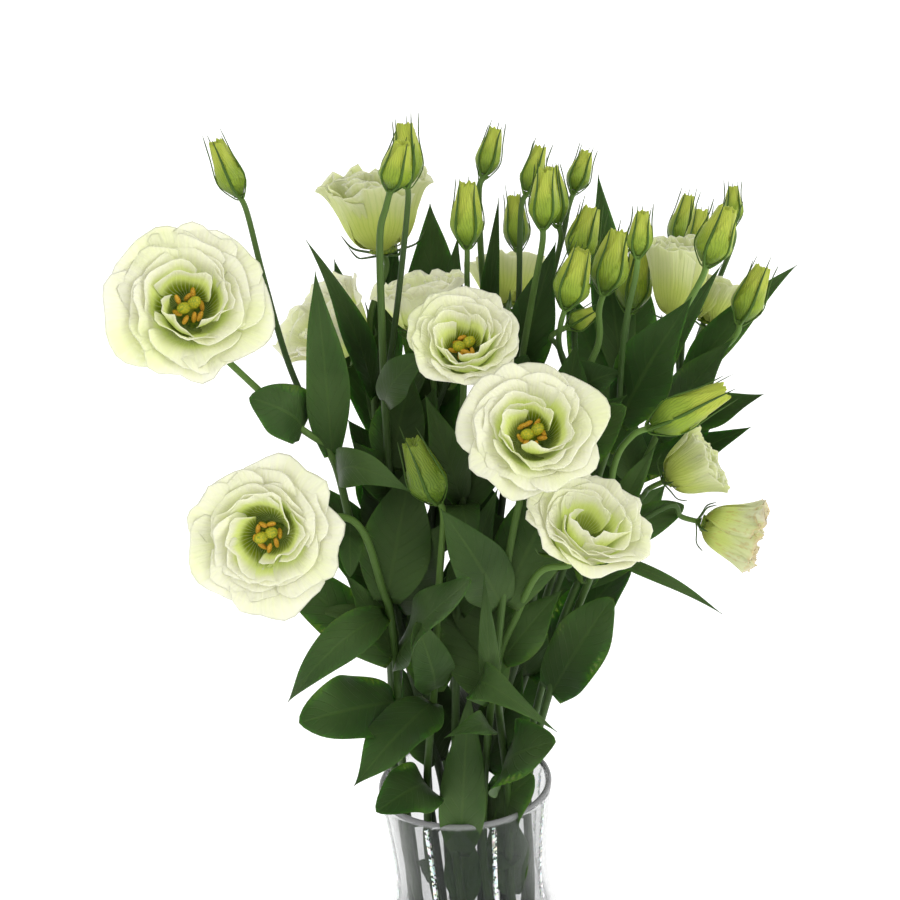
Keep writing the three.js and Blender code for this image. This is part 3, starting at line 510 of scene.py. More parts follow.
def bezier(profile, t):
    """A point of a petal's profile and the way it runs there."""
    a, b, c, d = (Vector(p) for p in profile)
    s = 1 - t
    point = a * s**3 + b * 3 * s * s * t + c * 3 * s * t * t + d * t**3
    way = (b - a) * s * s + (c - b) * 2 * s * t + (d - c) * t * t
    return point, way.normalized()


def seat_of(bloom):
    axis = Vector(bloom["faces"]).normalized()
    tall = bloom.get("tall", 1)
    depth = mix(0.75, 0.42, bloom["open"]) * bloom["radius"] * tall
    return dict(axis=axis, seat=spot(bloom["seen"]) - axis * depth, size=bloom["radius"], tall=tall)


def bud_seat_of(bud):
    seat = spot(bud["base"])
    along = spot(bud["tip"]) - seat
    return dict(axis=along.normalized(), seat=seat, size=bud["radius"], length=along.length)


ENDS = {bloom["name"]: seat_of(bloom) for bloom in BLOOMS}
BUD_ENDS = {bud["name"]: bud_seat_of(bud) for bud in BUDS}


def end_of(name):
    """The bloom or bud that a stem or branch ends in."""
    return ENDS[name] if name in ENDS else BUD_ENDS[name]


class Axes:
    """A flower's own axes: along its stalk, and two across it."""

    def __init__(self, end, turn=0):
        self.seat = end["seat"]
        self.along = end["axis"]
        level = Vector((1, 0, 0)) if abs(self.along.z) > 0.95 else UP
        side = level.cross(self.along).normalized()
        self.side = Quaternion(self.along, turn) @ side
        self.other = self.along.cross(self.side)

    def at(self, radius, angle, height):
        out = self.side * (radius * math.cos(angle)) + self.other * (radius * math.sin(angle))
        return self.seat + out + self.along * height


# Shapes.


def blank():
    """An empty mesh with a map of its own surface."""
    mesh = bmesh.new()
    mesh.loops.layers.uv.new("UVMap")
    return mesh


def grid(mesh, across, along):
    """A flat grid from -1 to 1 each way, whose points are then put in their places."""
    return bmesh.ops.create_grid(mesh, x_segments=across, y_segments=along, size=1, calc_uvs=True)["verts"]


def paint(verts, finish):
    """Gives the faces round these vertices a finish, by its place in the piece's list."""
    for face in {face for vert in verts for face in vert.link_faces}:
        face.material_index = finish


def to_rim(share, step):
    """Draws the last row before a blade's edge close to it, so that the edge stays thin in its shading."""
    return share if abs(share) > 0.999 else 0.98 * share / max(0.1, 1 - step)


def blade(mesh, across, along, place, finish=0):
    """A thin closed blade: a grid rolled round its upper and under face.

    place takes -1 to 1 across, 0 to 1 along, and a side that is 1 above, -1 below and 0 at every edge.
    """
    made = grid(mesh, 2 * across, along)
    for vert in made:
        turn, v = (vert.co.x + 1) / 2, (vert.co.y + 1) / 2
        u = to_rim(4 * turn - 1 if turn < 0.5 else 3 - 4 * turn, 2 / across)
        v = to_rim(v, 1 / along)
        edge = max(0, 1 - abs(u) ** 10) * max(0, 1 - abs(2 * v - 1) ** 16)
        vert.co = place(max(-1, min(1, u)), v, edge if turn < 0.5 else -edge) * MM
    paint(made, finish)


def tube(mesh, sides, steps, line, radius, finish=0, ribs=0):
    """A round stalk along a line, its radius given by the share along it."""
    rows, across = [], Vector((1, 0.2, 0.1))
    for i in range(steps + 1):
        way = line.way(i / steps)
        across = (across - way * across.dot(way)).normalized()
        rows.append((line.at(i / steps), across, way.cross(across)))
    made = grid(mesh, sides, steps)
    for vert in made:
        turn, v = math.pi * (vert.co.x + 1), (vert.co.y + 1) / 2
        middle, side, other = rows[round(v * steps)]
        wide = radius(v) * (1 + ribs * math.cos(4 * turn))
        vert.co = (middle + side * (wide * math.cos(turn)) + other * (wide * math.sin(turn))) * MM
    paint(made, finish)


def ball(mesh, middle, way, long, wide, finish=0, sides=10):
    """A small egg whose long axis lies along way."""
    size = dict(u_segments=sides, v_segments=sides - 2, radius=1)
    made = bmesh.ops.create_uvsphere(mesh, calc_uvs=True, **size)["verts"]
    matrix = Matrix.LocRotScale(middle * MM, UP.rotation_difference(way), Vector((wide, wide, long)) * MM)
    bmesh.ops.transform(mesh, matrix=matrix, verts=made)
    paint(made, finish)


def turned(mesh, profile, steps, finish=0):
    """A wall turned round the upright axis, from radius and height in millimetres."""
    verts = [mesh.verts.new((radius * MM, 0, height * MM)) for radius, height in profile]
    edges = [mesh.edges.new(pair) for pair in zip(verts, verts[1:])]
    full = dict(axis=UP, cent=(0, 0, 0), angle=2 * math.pi, steps=steps, use_merge=True)
    bmesh.ops.spin(mesh, geom=verts + edges, **full)
    paint(list(mesh.verts), finish)


def shown(mesh, name, finishes):
    """Closes a mesh's seams and shows it, smooth, in its finishes."""
    bmesh.ops.remove_doubles(mesh, verts=mesh.verts, dist=1e-7)
    bmesh.ops.dissolve_degenerate(mesh, edges=mesh.edges, dist=1e-8)
    ends = [edge for edge in mesh.edges if edge.is_boundary]
    bmesh.ops.holes_fill(mesh, edges=ends, sides=64)
    bmesh.ops.recalc_face_normals(mesh, faces=mesh.faces)
    for face in mesh.faces:
        face.smooth = True
    data = bpy.data.meshes.new(name)
    mesh.to_mesh(data)
    mesh.free()
    made = bpy.data.objects.new(name, data)
    for finish in finishes:
        data.materials.append(finish)
    bpy.context.scene.collection.objects.link(made)
    return made


def piece(mesh, name, finishes, node):
    """Shows a mesh as a piece of the bunch that stands for its node."""
    made = shown(mesh, name, finishes)
    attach(made, "root")
    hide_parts(node)


# Blooms and buds.


def petal(mesh, end, axes, layer, profile, middle, reach, draw, look, crimp, finish):
    """One ruffled petal of a layer, one edge over the next petal and the other under the one before."""
    size, tall, depth = end["size"], end["tall"], layer["depth"]
    half = math.pi / layer["petals"] * layer["overlap"]
    waves, phase, bend = draw.between(2.8, 5.2) * crimp**0.5, draw.between(0, 6.3), draw.between(0, 6.3)
    ruffle = look.ruffle / MM * (1 + 0.5 * depth) * crimp * size / 28
    notch, lean = draw.between(0.015, 0.045), draw.between(-0.12, 0.12) * (0.3 + depth)
    nod = draw.between(-0.08, 0.1) * min(1, 2 * depth)
    curl = 0.05 + 0.1 * depth
    thick = look.petal_thickness / MM / 2

    def place(u, v, side):
        rim = 1 - 0.05 * abs(u) - 0.13 * abs(u) ** 4 + notch * math.sin(waves * 1.7 * u + bend)
        s = v * rim
        point, way = bezier(profile, s)
        crest = max(0, s - 0.45) ** 1.6 * 2.4
        ripple = math.sin(waves * u + phase) + 0.45 * math.sin(2.7 * waves * u + bend)
        lift = ruffle * crest * ripple
        offset = (curl * u * s + nod * s * s) * size + lift + side * thick
        radius = point.x * (1 + (reach - 1) * s) * size + way.y * offset
        height = point.y * size * tall - way.x * offset - 0.15 * size * max(0, s - 0.8) * (1 - depth)
        wide = math.sin(math.pi / 2 * min(1, (s + 0.02) / 0.62))
        return axes.at(max(radius, 0.3), middle + (u * half + lean * s) * wide, height + SEAT)

    blade(mesh, *PETAL_GRID, place, finish)


def bloom_piece(index, bloom, look, finishes):
    """All petals of one bloom, on the small core that they grow from."""
    end = ENDS[bloom["name"]]
    draw = Draws(PETAL_SEED + index)
    own = Draws(FINE_PETAL_SEED + index)
    axes = Axes(end, draw.next() * 6.28)
    full = bloom["open"] > FULLY_OPEN
    crimp = 1 if full else 4 if bloom["name"] == "wilted" else 2
    mesh = blank()
    for layer in FULL_LAYERS if full else PLAIN_LAYERS:
        depth, profile = layer["depth"], []
        for k in range(4):
            outer = Vector(CUP_OUTER[k]).lerp(Vector(OPEN_OUTER[k]), bloom["open"])
            inner = Vector(CUP_INNER[k]).lerp(Vector(OPEN_INNER[k]), bloom["open"])
            profile.append(outer.lerp(inner, depth))
        for i in range(layer["petals"]):
            modelled = depth in MODELLED_DEPTHS
            reach = 0.94 + 0.12 * draw.next() if modelled else own.between(0.88, 1.1)
            middle = layer["turn"] + i * 2 * math.pi / layer["petals"]
            if not modelled:
                middle += own.between(-0.3, 0.3)
            finish = 2 if depth > THROAT_DEPTH else 0
            petal(mesh, end, axes, layer, profile, middle, reach, own, look, crimp, finish)
    core = Line([axes.at(0, 0, height) for height in (SEAT, 0.1 * end["size"], 0.2 * end["size"])])
    tube(mesh, 12, 4, core, lambda t: 0.25 * end["size"] * (1 - 0.2 * t), 1)
    piece(mesh, f"petals_{bloom['name']}", finishes, f"bloom_{bloom['name']}")


def bud_piece(index, bud, look, finishes):
    """A closed bud, its petals wound round each other to a ragged tip."""
    end = BUD_ENDS[bud["name"]]
    axes = Axes(end)
    draw = Draws(BUD_SEED + index)
    phase, twist = draw.between(0, 6.3), draw.between(0.9, 1.6)
    length, size = end["length"], end["size"]

    def swell_at(rise):
        if rise < 0.32:
            return 0.38 + 0.62 * math.sin(math.pi * rise / 0.64)
        return 1 - 0.54 * ((rise - 0.32) / 0.68) ** 1.2

    def place(turn, t):
        rise = min(1, t / BUD_MOUTH)
        fold = ((turn - twist * rise + phase) * 5 / (2 * math.pi)) % 1
        wrap = 1 + look.bud_fold * (0.5 - fold) * min(1, rise / 0.25)
        mouth = max(0, (t - BUD_MOUTH) / (1 - BUD_MOUTH))
        tooth = math.sin(5 * turn + phase) + 0.7 * math.sin(9 * turn + 2 * phase) + 0.5 * math.sin(17 * turn)
        height = SEAT + rise * (length - SEAT) * (1 + 0.022 * rise**8 * tooth) - 0.12 * length * mouth**0.7
        return axes.at(size * swell_at(rise) * wrap * (1 - mouth) + 0.02, turn + 0.4 * rise, height)

    mesh = blank()
    for vert in grid(mesh, *BUD_GRID):
        vert.co = place(math.pi * (vert.co.x + 1), (vert.co.y + 1) / 2) * MM
    piece(mesh, f"wrapped_bud_{bud['name']}", finishes, f"bud_{bud['name']}")


def heart_piece(bloom, look, finishes):
    """The pistil with its two lobes, and the stamens round it."""
    end = ENDS[bloom["name"]]
    axes = Axes(end, 0.4)
    size = end["size"]
    floor = 0.2 * size + 0.8

    def at(radius, angle, height):
        return axes.at(radius, angle, floor + height)

    mesh = blank()
    pistil = Line([at(0, 0, 0), at(0, 0, 0.16 * size), at(0, 0, 0.3 * size)])
    tube(mesh, 14, 8, pistil, lambda t: 2.1 - 1.2 * t, 0)
    for k in range(2):
        root, tip = at(0.4, k * math.pi, 0.26 * size), at(4.2, k * math.pi, 0.36 * size)
        ball(mesh, (root + tip) / 2, (tip - root).normalized(), (tip - root).length * 0.64, 2.3, 1, 16)
    draw = Draws(HEART_SEED + int(size))
    for k in range(look.stamens):
        angle = 0.6 + k * 2 * math.pi / look.stamens
        out, aside, rise = draw.between(0, 1.6), draw.between(-0.3, 0.3), draw.between(1, 3)
        top = at(0.13 * size + out, angle + aside, 0.17 * size + rise)
        stalk = Line([at(0.6, angle, 0.5), at(0.13 * size, angle, 0.14 * size), top])
        tube(mesh, 7, 8, stalk, lambda t: 0.4 - 0.1 * t, 0)
        lean = axes.side * draw.between(-1, 1) + axes.other * draw.between(-1, 1)
        ball(mesh, top, (axes.along * 0.3 + lean).normalized(), 2.3, 1.05, 2, 10)
    piece(mesh, f"stamens_{bloom['name']}", finishes, f"heart_{bloom['name']}")


# Leafy stems.


def lines_of(stem):
    """The line of the stem itself and those of its branches, each from its start to its flower."""
    ring = stem["ring"]
    trunk = [
        ring_point(stem["angle"] + FOOT_TWIST, ring["foot"], FLOOR_THICKNESS + SEAT),
        ring_point(stem["angle"], ring["waist"], WAIST_HEIGHT),
        ring_point(stem["angle"], ring["rim"], ABOVE_RIM),
        *(spot(seen) for seen in stem["rise"]),
    ]
    lines = []
    for i, way in enumerate(stem["ends"]):
        end = end_of(way["to"])
        last = [end["seat"] - end["axis"] * 9, end["seat"]]
        start = trunk if i == 0 else [trunk[-1]]
        lines.append([*start, *(spot(seen) for seen in way["via"]), *last])
    return lines


def flare(t):
    """How far a stem widens under its flower."""
    return max(0, (t - 0.95) / 0.05) ** 2


def trunk_radius(t):
    return STEM_RADIUS * (1.04 - 0.45 * t) + flare(t)


def branch_radius(t):
    return BRANCH_RADIUS * (1 - 0.15 * t) + 1.2 * flare(t)


def leaf_ends(stem, leaf):
    points = lines_of(stem)[0]
    above = math.ceil(leaf["on"])
    foot = points[above - 1].lerp(points[above], leaf["on"] - above + 1)
    if "tip" in leaf:
        return foot, spot(leaf["tip"])
    turn = math.atan2(foot.y, foot.x) + math.radians(leaf["turn"])
    lean = math.radians(leaf["lean"])
    rise = (points[above] - points[above - 1]).normalized()
    out = Vector((math.cos(turn), math.sin(turn), 0))
    return foot, foot + rise * (leaf["reach"] * math.cos(lean)) + out * (leaf["reach"] * math.sin(lean))


def leaf_width(kind, t):
    shape = LEAF_KINDS[kind]
    if t < shape["widest"]:
        return mix(shape["foot"], 1, math.sin(math.pi / 2 * t / shape["widest"]))
    return max(0, math.cos(math.pi / 2 * (t - shape["widest"]) / (1 - shape["widest"]))) ** shape["taper"]


def leaf_blade(mesh, stem, leaf, look, draw, finish):
    """A leaf from its foot on the stem to its tip, arched, folded along its midrib and waved at its edges."""
    foot, tip = leaf_ends(stem, leaf)
    way = (tip - foot).normalized()
    outward = Vector((tip.x, tip.y, 0)).normalized()
    top = UP - outward * 0.3 + FRONT * 1.4
    top = (top - way * top.dot(way)).normalized()
    arch = (tip - foot).length * 0.1 + 2 * leaf["sag"]
    middle = foot.lerp(tip, 0.5) + top * arch
    roll, wide = math.radians(leaf["roll"]), leaf["wide"]
    fold, thick = LEAF_KINDS[leaf["kind"]]["fold"], look.leaf_thickness / MM / 2
    phase, other_phase = draw.between(0, 6.3), draw.between(0, 6.3)

    def place(u, v, side):
        t = 0.02 + 0.98 * v
        tangent = ((middle - foot) * (1 - t) + (tip - middle) * t).normalized()
        across = tangent.cross(top).normalized()
        spin = Quaternion(tangent, roll)
        normal = spin @ across.cross(tangent)
        across = spin @ across
        half = max(leaf_width(leaf["kind"], t) * wide / 2, 0.15)
        edge_phase = phase if u > 0 else other_phase
        wave = look.leaf_wave * wide * u * u * math.sin(9 * t + edge_phase) * math.sin(math.pi * t)
        crease = -0.5 * math.exp(-((u * 7) ** 2)) * math.sin(math.pi * min(1, t * 1.1))
        lift = fold * (math.sqrt(u * u + 0.012) - 0.11) * half + wave + crease * 0.5 + side * thick
        bow = foot * (1 - t) ** 2 + middle * (2 * t * (1 - t)) + tip * t * t
        return bow + across * (u * half) + normal * lift

    blade(mesh, *LEAF_GRID, place, finish)


def paired_leaves(index, stem, look):
    """Leaves that grow in pairs from the joints of a stem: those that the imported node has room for."""
    draw = Draws(PAIRED_SEED + index)
    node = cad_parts[f"leafy_stem_{stem['name']}"]
    tree = KDTree(len(node.data.vertices))
    for i, vert in enumerate(node.data.vertices):
        tree.insert(vert.co / MM, i)
    tree.balance()
    leaves, on, across = [], 2.6 + 0.8 * draw.next(), 90 * draw.next()
    while on < len(stem["rise"]) + 1.7:
        for side in (0, 180):
            leaf = dict(on=on, turn=across + side + 40 * (draw.next() - 0.5), sag=0)
            leaf.update(lean=24 + 26 * draw.next(), reach=56 + 20 * draw.next(), wide=24 + 8 * draw.next())
            leaf.update(kind="lance" if draw.next() < 0.5 else "round", roll=50 * (draw.next() - 0.5))
            aside = tree.find(leaf_ends(stem, leaf)[1])[2]
            if len(leaves) < stem["paired"] and aside < PAIRED_WITHIN:
                leaves.append(leaf)
        on, across = on + 0.8, across + 90
    return leaves


def sepals(mesh, end, finish, open_bloom, draw):
    """Five narrow sepals with fine tips, close round a bud or spread under a bloom."""
    axes = Axes(end, 0.5)
    size = end["size"]
    for k in range(5):
        angle = k * 2 * math.pi / 5
        if open_bloom:
            reach = [(0.3, -2.2), (2.2, -1.4), (0.34 * size, -0.4), (0.62 * size, 0.06 * size)]
            reach.append((0.8 * size, 0.3 * size))
        else:
            long = end["length"]
            reach = [(0.3, -2.2), (0.42 * size, -0.5), (size + 0.4, 0.3 * long)]
            reach.append((0.74 * size + 0.6, 0.75 * long))
            reach.append((0.52 * size + draw.between(0.6, 2.6), long * draw.between(1.02, 1.22)))
        line = Line([axes.at(radius, angle, height) for radius, height in reach])
        wide = 0.07 * size + 0.35

        def place(u, v, side, line=line, angle=angle, wide=wide):
            way = line.way(v)
            across = (axes.other * math.cos(angle) - axes.side * math.sin(angle)).normalized()
            half = wide * (0.8 + 1.1 * v) * (1 - v) ** 0.9 + 0.09
            return line.at(v) + across * (u * half) + across.cross(way) * (side * 0.28 - 0.25 * half * u * u)

        blade(mesh, *SEPAL_GRID, place, finish)


def stem_piece(index, stem, look, finishes):
    """A stem with its branches, leaves and sepals."""
    mesh = blank()
    draw = Draws(STEM_SEED + index)
    for i, points in enumerate(lines_of(stem)):
        line, last = Line(points), stem["ends"][i]["to"]
        if i == 0:
            tube(mesh, STEM_SIDES, 10 * len(points), line, trunk_radius, 0, STEM_RIBS)
        else:
            tube(mesh, BRANCH_SIDES, 8 * len(points), line, branch_radius, 0, STEM_RIBS)
        sepals(mesh, end_of(last), 2, last in ENDS, draw)
    for leaf in [*stem["leaves"], *paired_leaves(index, stem, look)]:
        leaf_blade(mesh, stem, leaf, look, draw, 1)
    piece(mesh, f"greenery_{stem['name']}", finishes, f"leafy_stem_{stem['name']}")


# Finishes.


class Wire:
    """A value in a finish's nodes that can be added, multiplied and so on like a number."""

    def __init__(self, finish, socket):
        self.finish = finish
        self.socket = socket

    def __add__(self, other):
        return self.finish.math("ADD", self, other)

    def __sub__(self, other):
        return self.finish.math("SUBTRACT", self, other)

    def __rsub__(self, other):
        return self.finish.math("SUBTRACT", other, self)

    def __mul__(self, other):
        return self.finish.math("MULTIPLY", self, other)

    def __truediv__(self, other):
        return self.finish.math("DIVIDE", self, other)

    def __pow__(self, other):
        return self.finish.math("POWER", self, other)


class Finish:
    """A material whose nodes are added one by one round a single principled shader."""

    def __init__(self, name):
        self.material = bpy.data.materials.new(name)
        self.material.use_nodes = True
        self.tree = self.material.node_tree
        self.shader = next(n for n in self.tree.nodes if n.type == "BSDF_PRINCIPLED")

    def put(self, socket, value):
        """Links a wire to a socket, or sets a constant on it."""
        if isinstance(value, Wire):
            self.tree.links.new(value.socket, socket)
        else:
            socket.default_value = value

    def node(self, kind, inputs, **settings):
        """Adds a node with its settings and with what goes into it, by the names or places of its inputs."""
        made = self.tree.nodes.new(kind)
        for key, value in settings.items():
            setattr(made, key, value)
        for key, value in inputs.items():
            self.put(made.inputs[key], value)
        return made

    def out(self, made, key=0):
        """What comes out of a node."""
        return Wire(self, made.outputs[key])

    def sets(self, **values):
        """Sets what goes into the shader."""
        for key, value in values.items():
            self.put(self.shader.inputs[key.replace("_", " ")], value)

    def math(self, operation, *values):
        return self.out(self.node("ShaderNodeMath", dict(enumerate(values)), operation=operation))

    def between(self, value, low, high, to_low=0.0, to_high=1.0):
        """Maps a value's range smoothly to another."""
        inputs = {"Value": value, "From Min": low, "From Max": high, "To Min": to_low, "To Max": to_high}
        return self.out(self.node("ShaderNodeMapRange", inputs, interpolation_type="SMOOTHSTEP"), "Result")

    def lines(self, phase, low):
        """Fine lines where the sine of a phase lies above low."""
        return self.between(self.math("SINE", phase), low, 1)

    def blend(self, share, a, b):
        """One colour at a share of 0 and another at 1."""
        made = self.node("ShaderNodeMix", {"Factor": share}, data_type="RGBA")
        for name, value in (("A", a), ("B", b)):
            socket = next(s for s in made.inputs if s.name == name and s.type == "RGBA")
            self.put(socket, value if isinstance(value, Wire) else (*value[:3], 1))
        return Wire(self, next(s for s in made.outputs if s.type == "RGBA"))

    def ramp(self, share, stops):
        """A band of colours, each at its own share."""
        made = self.node("ShaderNodeValToRGB", {0: share})
        band = made.color_ramp
        band.interpolation = "EASE"
        while len(band.elements) < len(stops):
            band.elements.new(0.5)
        for element, (place, colour) in zip(band.elements, stops):
            element.position = place
            element.color = (*colour[:3], 1)
        return self.out(made)

    def places(self):
        """Places on the object, in metres."""
        return self.out(self.node("ShaderNodeTexCoord", {}), "Object")

    def parts(self, vector):
        """The three numbers of a place."""
        made = self.node("ShaderNodeSeparateXYZ", {0: vector})
        return [self.out(made, key) for key in range(3)]

    def surface(self):
        """How far round and how far along its own surface a point of the piece lies, from 0 to 1."""
        return self.parts(self.out(self.node("ShaderNodeUVMap", {}, uv_map="UVMap")))[:2]

    def stretched(self, round_, times_round, along, times_along):
        """Places on the piece's own surface, drawn out along it."""
        return self.out(self.node("ShaderNodeCombineXYZ", {0: round_ * times_round, 1: along * times_along}))

    def noise(self, scale, detail=3.0, places=None):
        inputs = dict(Vector=places or self.places(), Scale=scale, Detail=detail)
        return self.out(self.node("ShaderNodeTexNoise", inputs))

    def within(self):
        """How deep in the bunch a point lies: 0 at its outside, and 1 along its middle, low down. It sets how
        far shade is painted on leaves and stems.
        """
        x, y, z = self.parts(self.places())
        reach = self.math("MAXIMUM", z * 0.3 - 0.03, 0.03)
        inward = self.between(self.math("SQRT", x**2 + y**2) / reach, 0.95, 0.4)
        return inward * self.between(z, 0.46, 0.34, 0.35, 1)

    def across_blade(self, round_):
        """0 on a blade's midrib and 1 at its edges, alike on both faces."""
        return self.math("ABSOLUTE", self.math("FRACT", round_ * 2) * 2 - 1)

    def bump(self, height, distance, strength):
        inputs = dict(Height=height, Distance=distance, Strength=strength)
        return self.out(self.node("ShaderNodeBump", inputs))

    def coat(self, colour, drift, rough, relief):
        """Gives the shader its colour, a roughness that drifts between two values, and a fine relief."""
        roughness = self.between(drift, 0.3, 0.7, *rough)
        self.sets(Base_Color=colour, Roughness=roughness, Normal=self.bump(*relief))

    def soft(self, weight, radius, scale):
        """Lets light scatter under the surface."""
        self.sets(Subsurface_Weight=weight, Subsurface_Radius=radius, Subsurface_Scale=scale)


def petal_finish(look, name="Cream petal", worn=0.0, green=0.0, deep=0.0):
    """A veined, pleated petal whose faint glow is painted light, standing for the light that comes through
    it.

    green is how far it still has the green of a bud, deep how far up its throat reaches, worn how dry it is.
    The throat's green reaching further up is partly the throat's own colour and partly painted shade.
    """
    made = Finish(name)
    round_, along = made.surface()
    drift, cloud = made.noise(90), made.noise(38, 2)
    reach = along + (drift * 0.16 - (0.08 + deep))
    low = look.throat if deep or green else look.petal_middle
    stops = [(0.05, look.bud_foot), (0.27, low), (0.46, look.petal_middle), (0.7, look.petal)]
    veins = made.lines(round_ * 210 + drift * 5, 0.35)
    share_of_veins = veins * made.between(along, 1, 0.1, 0.12, 0.5)
    veined = made.blend(share_of_veins, made.ramp(reach, stops), look.petal_vein)
    coloured = made.blend(made.between(cloud, 0.4, 0.7, 0, 0.35), veined, look.petal_middle)
    if green:
        young = made.blend(veins * 0.5, look.petal_young, look.bud)
        coloured = made.blend(made.between(along, 1.4, 0.4, 0, green), coloured, young)
    if worn:
        specks = made.between(made.noise(1, 4, made.stretched(round_, 34, along, 7)), 0.54, 0.66)
        rim = made.between(along + drift * 0.3, 1.0, 1.14)
        coloured = made.blend(made.math("MAXIMUM", rim, specks * 0.5) * worn, coloured, look.petal_dry)
    pleats = made.noise(1, 3, made.stretched(round_, 90, along, 4))
    made.coat(coloured, cloud, (0.5, 0.65), (veins * -0.15 + pleats * 1.6, 0.0005, 0.6))
    made.soft(0.4, (1.0, 1.0, 0.8), 0.0015)
    # Painted light: the petal glows faintly at its foot and more towards its rim.
    glow = made.between(reach, 0.1, 0.6, 0.03, look.painted_petal_glow)
    made.sets(Specular_IOR_Level=0.15, Emission_Color=coloured, Emission_Strength=glow)
    return made.material


def bud_finish(look, name="Wrapped green bud", dark=0.25):
    """dark is how far the ribs of the bud take the green of its foot. A high dark is painted shade, for buds
    low in the bunch.
    """
    made = Finish(name)
    round_, along = made.surface()
    drift = made.noise(160)
    stops = [(0, look.bud_foot), (0.35, look.bud), (0.7, look.bud_tip)]
    shade = made.ramp(along + (drift * 0.3 - 0.15), stops)
    ribs = made.lines(round_ * 230 + along * 46 + drift * 22, 0.2)
    coloured = made.blend(ribs * 0.25 + (dark - 0.25), shade, look.bud_foot)
    made.coat(coloured, drift, (0.34, 0.5), (ribs, 0.0003, 0.6))
    made.soft(0.2, (0.7, 1.0, 0.2), 0.003)
    made.sets(Specular_IOR_Level=0.25)
    return made.material


def leaf_finish(look):
    made = Finish("Leaf blade")
    round_, along = made.surface()
    across = made.across_blade(round_)
    drift, cloud = made.noise(60, 4), made.noise(16, 2)
    above = made.blend(made.between(cloud, 0.35, 0.65), look.leaf, look.leaf_light)
    above = made.blend(made.between(drift, 0.45, 0.8, 0, 0.5), above, look.leaf)
    face = made.blend(made.between(round_, 0.5, 0.502), above, look.leaf_under)
    sides = made.lines(across * -22 + along * 70 + drift * 3, 0.86)
    rib = made.between(across, 0.06, 0.02, 0, 0.32)
    veins = made.math("MAXIMUM", rib, sides * made.between(across, 1, 0.4) * 0.07)
    veined = made.blend(veins, face, look.leaf_vein)
    edged = made.blend(made.between(across, 0.93, 1, 0, 0.3), veined, look.leaf_vein)
    # Painted shade: the leaf darkens towards the middle of the bunch.
    coloured = made.blend(made.within() * look.shade, edged, PAINTED_INNER_SHADE)
    relief = drift * 0.5 - made.math("MAXIMUM", rib, sides * 0.4)
    made.coat(coloured, drift, (0.4, 0.56), (relief, 0.0004, 0.6))
    made.soft(0.1, (0.4, 1.0, 0.1), 0.002)
    made.sets(Specular_IOR_Level=0.14, Specular_Tint=LEAF_SHINE)
    return made.material


def stalk_finish(look):
    made = Finish("Stalk")
    round_, along = made.surface()
    drift = made.noise(120, 4)
    shade = made.blend(made.between(along, 0.3, 1), look.stalk, look.stalk_light)
    streaks = made.lines(round_ * 88 + drift * 7, 0.1)
    streaked = made.blend(streaks * 0.35, shade, look.leaf)
    # Painted shade: the stem darkens towards the middle of the bunch.
    coloured = made.blend(made.within() * look.shade, streaked, PAINTED_INNER_SHADE)
    made.coat(coloured, drift, (0.42, 0.58), (streaks, 0.0002, 0.5))
    made.sets(Specular_IOR_Level=0.2)
    return made.material


def sepal_finish(look):
    made = Finish("Sepal")
    round_, along = made.surface()
    shade = made.ramp(along, [(0, look.stalk_light), (0.4, look.sepal), (1, look.leaf_light)])
    rib = made.between(made.across_blade(round_), 0.3, 0.05, 0, 0.5)
    grain = made.noise(500)
    made.coat(made.blend(rib, shade, look.leaf_vein), grain, (0.45, 0.6), (grain, 0.0002, 0.4))
    made.sets(Specular_IOR_Level=0.12, Specular_Tint=LEAF_SHINE)
    return made.material


def powder_finish(name, colour, shade, scale=900):
    """A soft, grainy finish for stamens, pistils and the cores of blooms."""
    made = Finish(name)
    grain, cloud = made.noise(scale, 5), made.noise(scale / 6, 2)
    coloured = made.blend(made.between(grain, 0.35, 0.65), colour, shade)
    made.coat(coloured, cloud, (0.6, 0.8), (grain, 0.0003, 0.8))
    made.soft(0.15, (1.0, 0.8, 0.2), 0.002)
    return made.material


def glass_finish(look):
    """Clear glass with a trace of grey, faint streaks and upright bands of fine sparkle."""
    made = Finish("Clear glass")
    x, y, z = made.parts(made.places())
    turn = made.math("ARCTAN2", x, y * -1) * (SPARKLE_BANDS / (2 * math.pi)) + SPARKLE_TURN
    aside = made.math("ABSOLUTE", made.math("FRACT", turn) - 0.5)
    inputs = dict(Vector=made.places(), Scale=look.sparkle_scale)
    cells = made.node("ShaderNodeTexVoronoi", inputs, feature="F1")
    distance, hue = made.out(cells, "Distance"), made.out(cells, "Color")
    edge = made.noise(300, 2) * 0.014 + 0.02
    band = made.math("LESS_THAN", aside, edge) * made.between(z, SPARKLE_TOP * MM, (SPARKLE_TOP - 1) * MM)
    glints = band * made.math("GREATER_THAN", hue, 0.45)
    sparkle = made.blend(0.35, (0.92, 0.95, 1.0), hue)
    haze = made.between(z, HAZE_FROM * MM, HAZE_FULL * MM, 0, look.rim_haze)
    made.sets(Base_Color=made.blend(glints, look.glass, sparkle), Metallic=glints, IOR=1.5)
    made.sets(Transmission_Weight=1 - glints - haze, Roughness=glints * 0.28)
    made.sets(Specular_Tint=made.blend(glints, look.glass_shine, WHITE))
    made.sets(Normal=made.bump(made.noise(24, 4) * 0.1 + distance * band, 0.0006, 0.35))
    return made.material


def water_finish(look):
    made = Finish("Still water")
    cloud = made.noise(12)
    coloured = made.blend(made.between(cloud, 0.3, 0.7), look.water, WHITE)
    made.coat(coloured, cloud, (0, 0.01), (made.noise(40, 2), 0.0003, 0.2))
    made.sets(Transmission_Weight=1.0, IOR=1.333)
    return made.material


